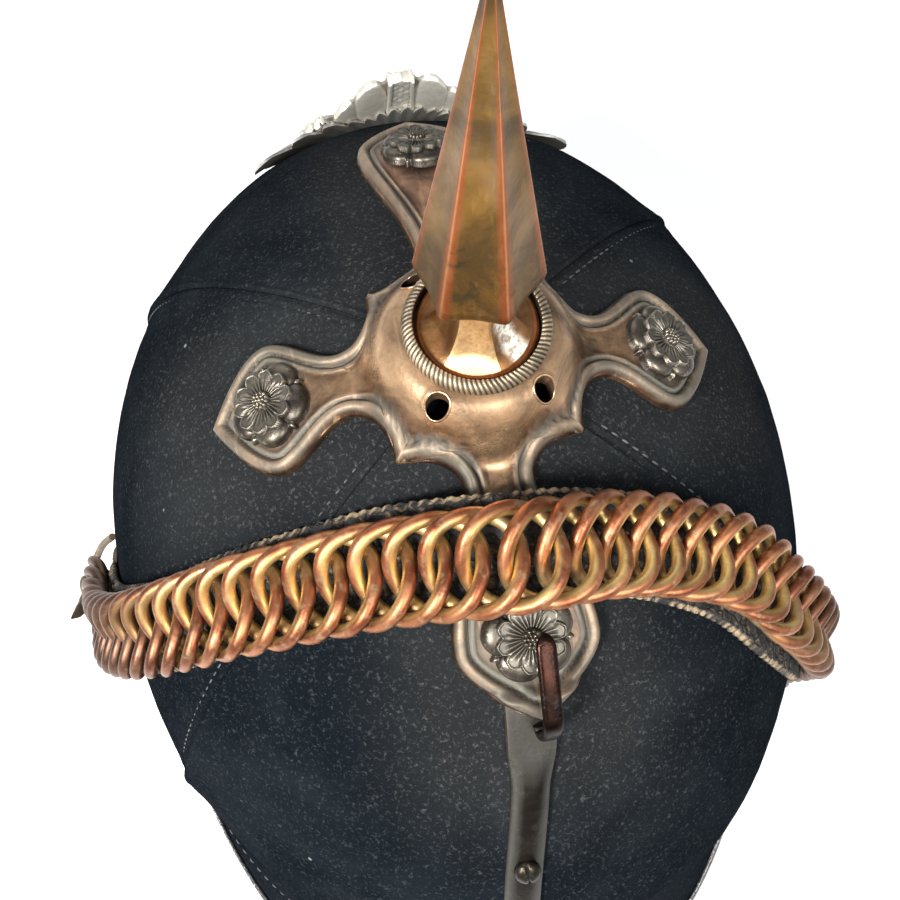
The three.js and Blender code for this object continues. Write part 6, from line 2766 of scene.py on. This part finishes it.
    def crown(self) -> Piece:
        """The crown.

        Returns:
            The crown.
        """
        x = np.linspace(-self.crown_half, self.crown_half, 301)
        top = self.crown_outline(x)
        foot = self.crown_foot + self.crown_sweep * x ** 2
        share = np.concatenate([np.linspace(0, 0.9, 52), np.linspace(0.92, 1, 6)])
        z = mix(foot[None], top[None], share[:, None])
        x_grid = np.broadcast_to(x[None], z.shape)
        height, masks = self.crown_relief(x_grid, z)
        fade = smooth_step(0, 0.6, top[None] - z) * smooth_step(0, 0.6, z - foot[None])
        fade = fade * smooth_step(0, 0.6, self.crown_half - np.abs(x_grid))
        lift = self.layer + 2 * GAP
        front = self.at(x_grid, z, lift + 1.0 + height * mix(0.35, 1, fade))
        back = self.at(x_grid, z, lift + 0.3 - 0.8 * height * fade * smooth_step(118, 124, z))
        made = Shape()
        made.shell(front, back, masks=masks, inner_masks=masks)
        return made.made("plate_crown_relief", crease=60)


# ---------------------------------------------------------------- stage


@dataclass
class Stage:
    """The pale floor, the soft light and the camera."""

    camera_place: Place = (0.0201, 0.0661, 0.3176)
    camera_turn: Place = (19.734, -1.724, 168.941)
    lens: float = 33.02
    sensor: float = 36.0
    floor_half: float = 3.0
    floor_tone: Colour = (0.9, 0.905, 0.91)
    sky_tone: Colour = (0.93, 0.96, 1.0)
    sky_strength: float = 0.36
    aim: Place = (0.0, 0.0, 0.12)

    def build(self) -> None:
        """Builds the floor, the lights, the world and the camera."""
        self.floor()
        self.light("key_light", (0.30, 0.22, 0.50), 0.12, 5.4, (1.0, 0.985, 0.96))
        self.light("window_light", (-0.12, 0.60, 0.90), 0.36, 9.5, (1.0, 0.99, 0.97))
        self.light("fill_light", (-0.75, 0.45, 0.75), 0.9, 3.0, (0.93, 0.96, 1.0))
        self.light("front_light", (0.2, -0.95, 0.7), 0.9, 4.0, (1.0, 1.0, 1.0))
        self.world()
        self.camera()
        scene = bpy.context.scene
        scene.view_settings.view_transform = "Standard"
        scene.view_settings.look = "None"

    def floor(self) -> None:
        """A pale sheet under the helmet."""
        half = self.floor_half
        mesh = bpy.data.meshes.new("floor")
        corners = [(-half, -half, 0), (half, -half, 0), (half, half, 0), (-half, half, 0)]
        mesh.from_pydata(corners, [], [(0, 1, 2, 3)])
        material, sheet, shader = new_material("pale_paper")
        sheet.feed(shader.inputs["Base Color"], self.floor_tone)
        sheet.feed(shader.inputs["Roughness"], 0.85)
        mesh.materials.append(material)
        made = bpy.data.objects.new("floor", mesh)
        bpy.context.scene.collection.objects.link(made)
        made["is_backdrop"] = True

    def light(self, name: str, place: Place, size: float, power: float, tone: Colour) -> None:
        """Adds a square light that faces the helmet.

        Args:
            name: Its name.
            place: Where it hangs, in metres.
            size: Its side, in metres.
            power: Its power in watts.
            tone: Its colour.
        """
        data = bpy.data.lights.new(name, "AREA")
        data.size = size
        data.energy = power
        data.color = tone
        made = bpy.data.objects.new(name, data)
        made.location = place
        made.rotation_euler = (Vector(place) - Vector(self.aim)).to_track_quat("Z", "Y").to_euler()
        bpy.context.scene.collection.objects.link(made)

    def world(self) -> None:
        """An even pale surround."""
        made = bpy.data.worlds.new("pale_room")
        made.use_nodes = True
        background = made.node_tree.nodes["Background"]
        background.inputs["Color"].default_value = (*self.sky_tone, 1)
        background.inputs["Strength"].default_value = self.sky_strength
        bpy.context.scene.world = made

    def camera(self) -> None:
        """The camera, close over the back of the spike."""
        data = bpy.data.cameras.new("camera")
        data.lens = self.lens
        data.sensor_width = self.sensor
        data.clip_start = 0.005
        made = bpy.data.objects.new("camera", data)
        made.location = self.camera_place
        made.rotation_euler = tuple(math.radians(turn) for turn in self.camera_turn)
        bpy.context.scene.collection.objects.link(made)
        bpy.context.scene.camera = made


# ---------------------------------------------------------------- the whole helmet


def write_sizes(packed: tuple[Vector, Vector]) -> None:
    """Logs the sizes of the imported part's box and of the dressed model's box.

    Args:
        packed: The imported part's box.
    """
    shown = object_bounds()
    rows = {"cad": [list(corner) for corner in packed], "visual": [list(corner) for corner in shown]}
    for name, (low, high) in rows.items():
        LOG.info("%s size %s", name, [round(b - a, 4) for a, b in zip(low, high)])


def main() -> None:
    """Builds every piece in order."""
    logging.basicConfig(level=logging.INFO, format="%(message)s")
    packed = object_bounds()
    form = HelmetForm()
    shop = Workshop()
    bronze = MetalFinish("brown_bronze", body=(0.285, 0.15, 0.085), bright=(0.93, 0.60, 0.34),
                         dark=(0.05, 0.028, 0.019), patina=(0.13, 0.124, 0.10), roughness=0.23,
                         patch_scale=48.0)
    rose_bronze = MetalFinish("rose_bronze", body=(0.10, 0.082, 0.066), bright=(0.34, 0.3, 0.23),
                              dark=(0.026, 0.02, 0.016), patina=(0.15, 0.143, 0.12), roughness=0.24)
    collar_bronze = MetalFinish("collar_bronze", body=(0.22, 0.15, 0.088), bright=(0.66, 0.52, 0.33),
                                dark=(0.05, 0.032, 0.022), patina=(0.2, 0.18, 0.14))
    spine_bronze = MetalFinish("spine_bronze", body=(0.013, 0.010, 0.0075), bright=(0.085, 0.07, 0.052),
                               dark=(0.006, 0.005, 0.004), patina=(0.05, 0.048, 0.041))
    hook_bronze = MetalFinish("hook_bronze", body=(0.016, 0.006, 0.004), bright=(0.075, 0.03, 0.02),
                              dark=(0.006, 0.003, 0.002), patina=(0.03, 0.026, 0.022), roughness=0.2,
                              wear=0.15)
    boss_bronze = MetalFinish("boss_bronze", body=(0.22, 0.16, 0.10), bright=(0.55, 0.42, 0.28),
                              dark=(0.06, 0.045, 0.03), patina=(0.26, 0.22, 0.17))
    silver = MetalFinish("tarnished_silver", body=(0.52, 0.5, 0.46), bright=(0.82, 0.8, 0.76),
                         dark=(0.25, 0.235, 0.21), patina=(0.42, 0.4, 0.35), roughness=0.3)
    crown_silver = MetalFinish("crown_silver", body=(0.86, 0.83, 0.75), bright=(0.95, 0.92, 0.85),
                               dark=(0.55, 0.52, 0.45), patina=(0.84, 0.8, 0.7), roughness=0.42)
    patent = LeatherFinish("patent_strip", face=(0.008, 0.008, 0.009), faded=(0.02, 0.019, 0.019),
                           edge=(0.03, 0.027, 0.025), flake=(0.05, 0.045, 0.04), roughness=0.28, crease=0.15,
                           flakes=0.1)
    backing = LeatherFinish("strap_velvet", face=(0.012, 0.012, 0.013), faded=(0.022, 0.021, 0.021),
                            edge=(0.27, 0.20, 0.12), flake=(0.34, 0.23, 0.11), roughness=0.75, crease=0.8)
    ClothBody(form, shop).build()
    PeakBindings(form, shop, bronze, patent).build()
    CrossPiece(form, shop, bronze).build()
    Roses(form, shop, rose_bronze).build()
    SpikeAndCollar(form, shop, collar_bronze, SpikeFinish()).build()
    BackFittings(form, shop, spine_bronze, hook_bronze).build()
    ChinChain(form, shop, ChainFinish(), backing).build()
    SideBosses(form, shop, boss_bronze).build()
    FrontPlate(form, shop, silver, crown_silver).build()
    Stage().build()
    write_sizes(packed)


if __name__ == "__main__":
    main()
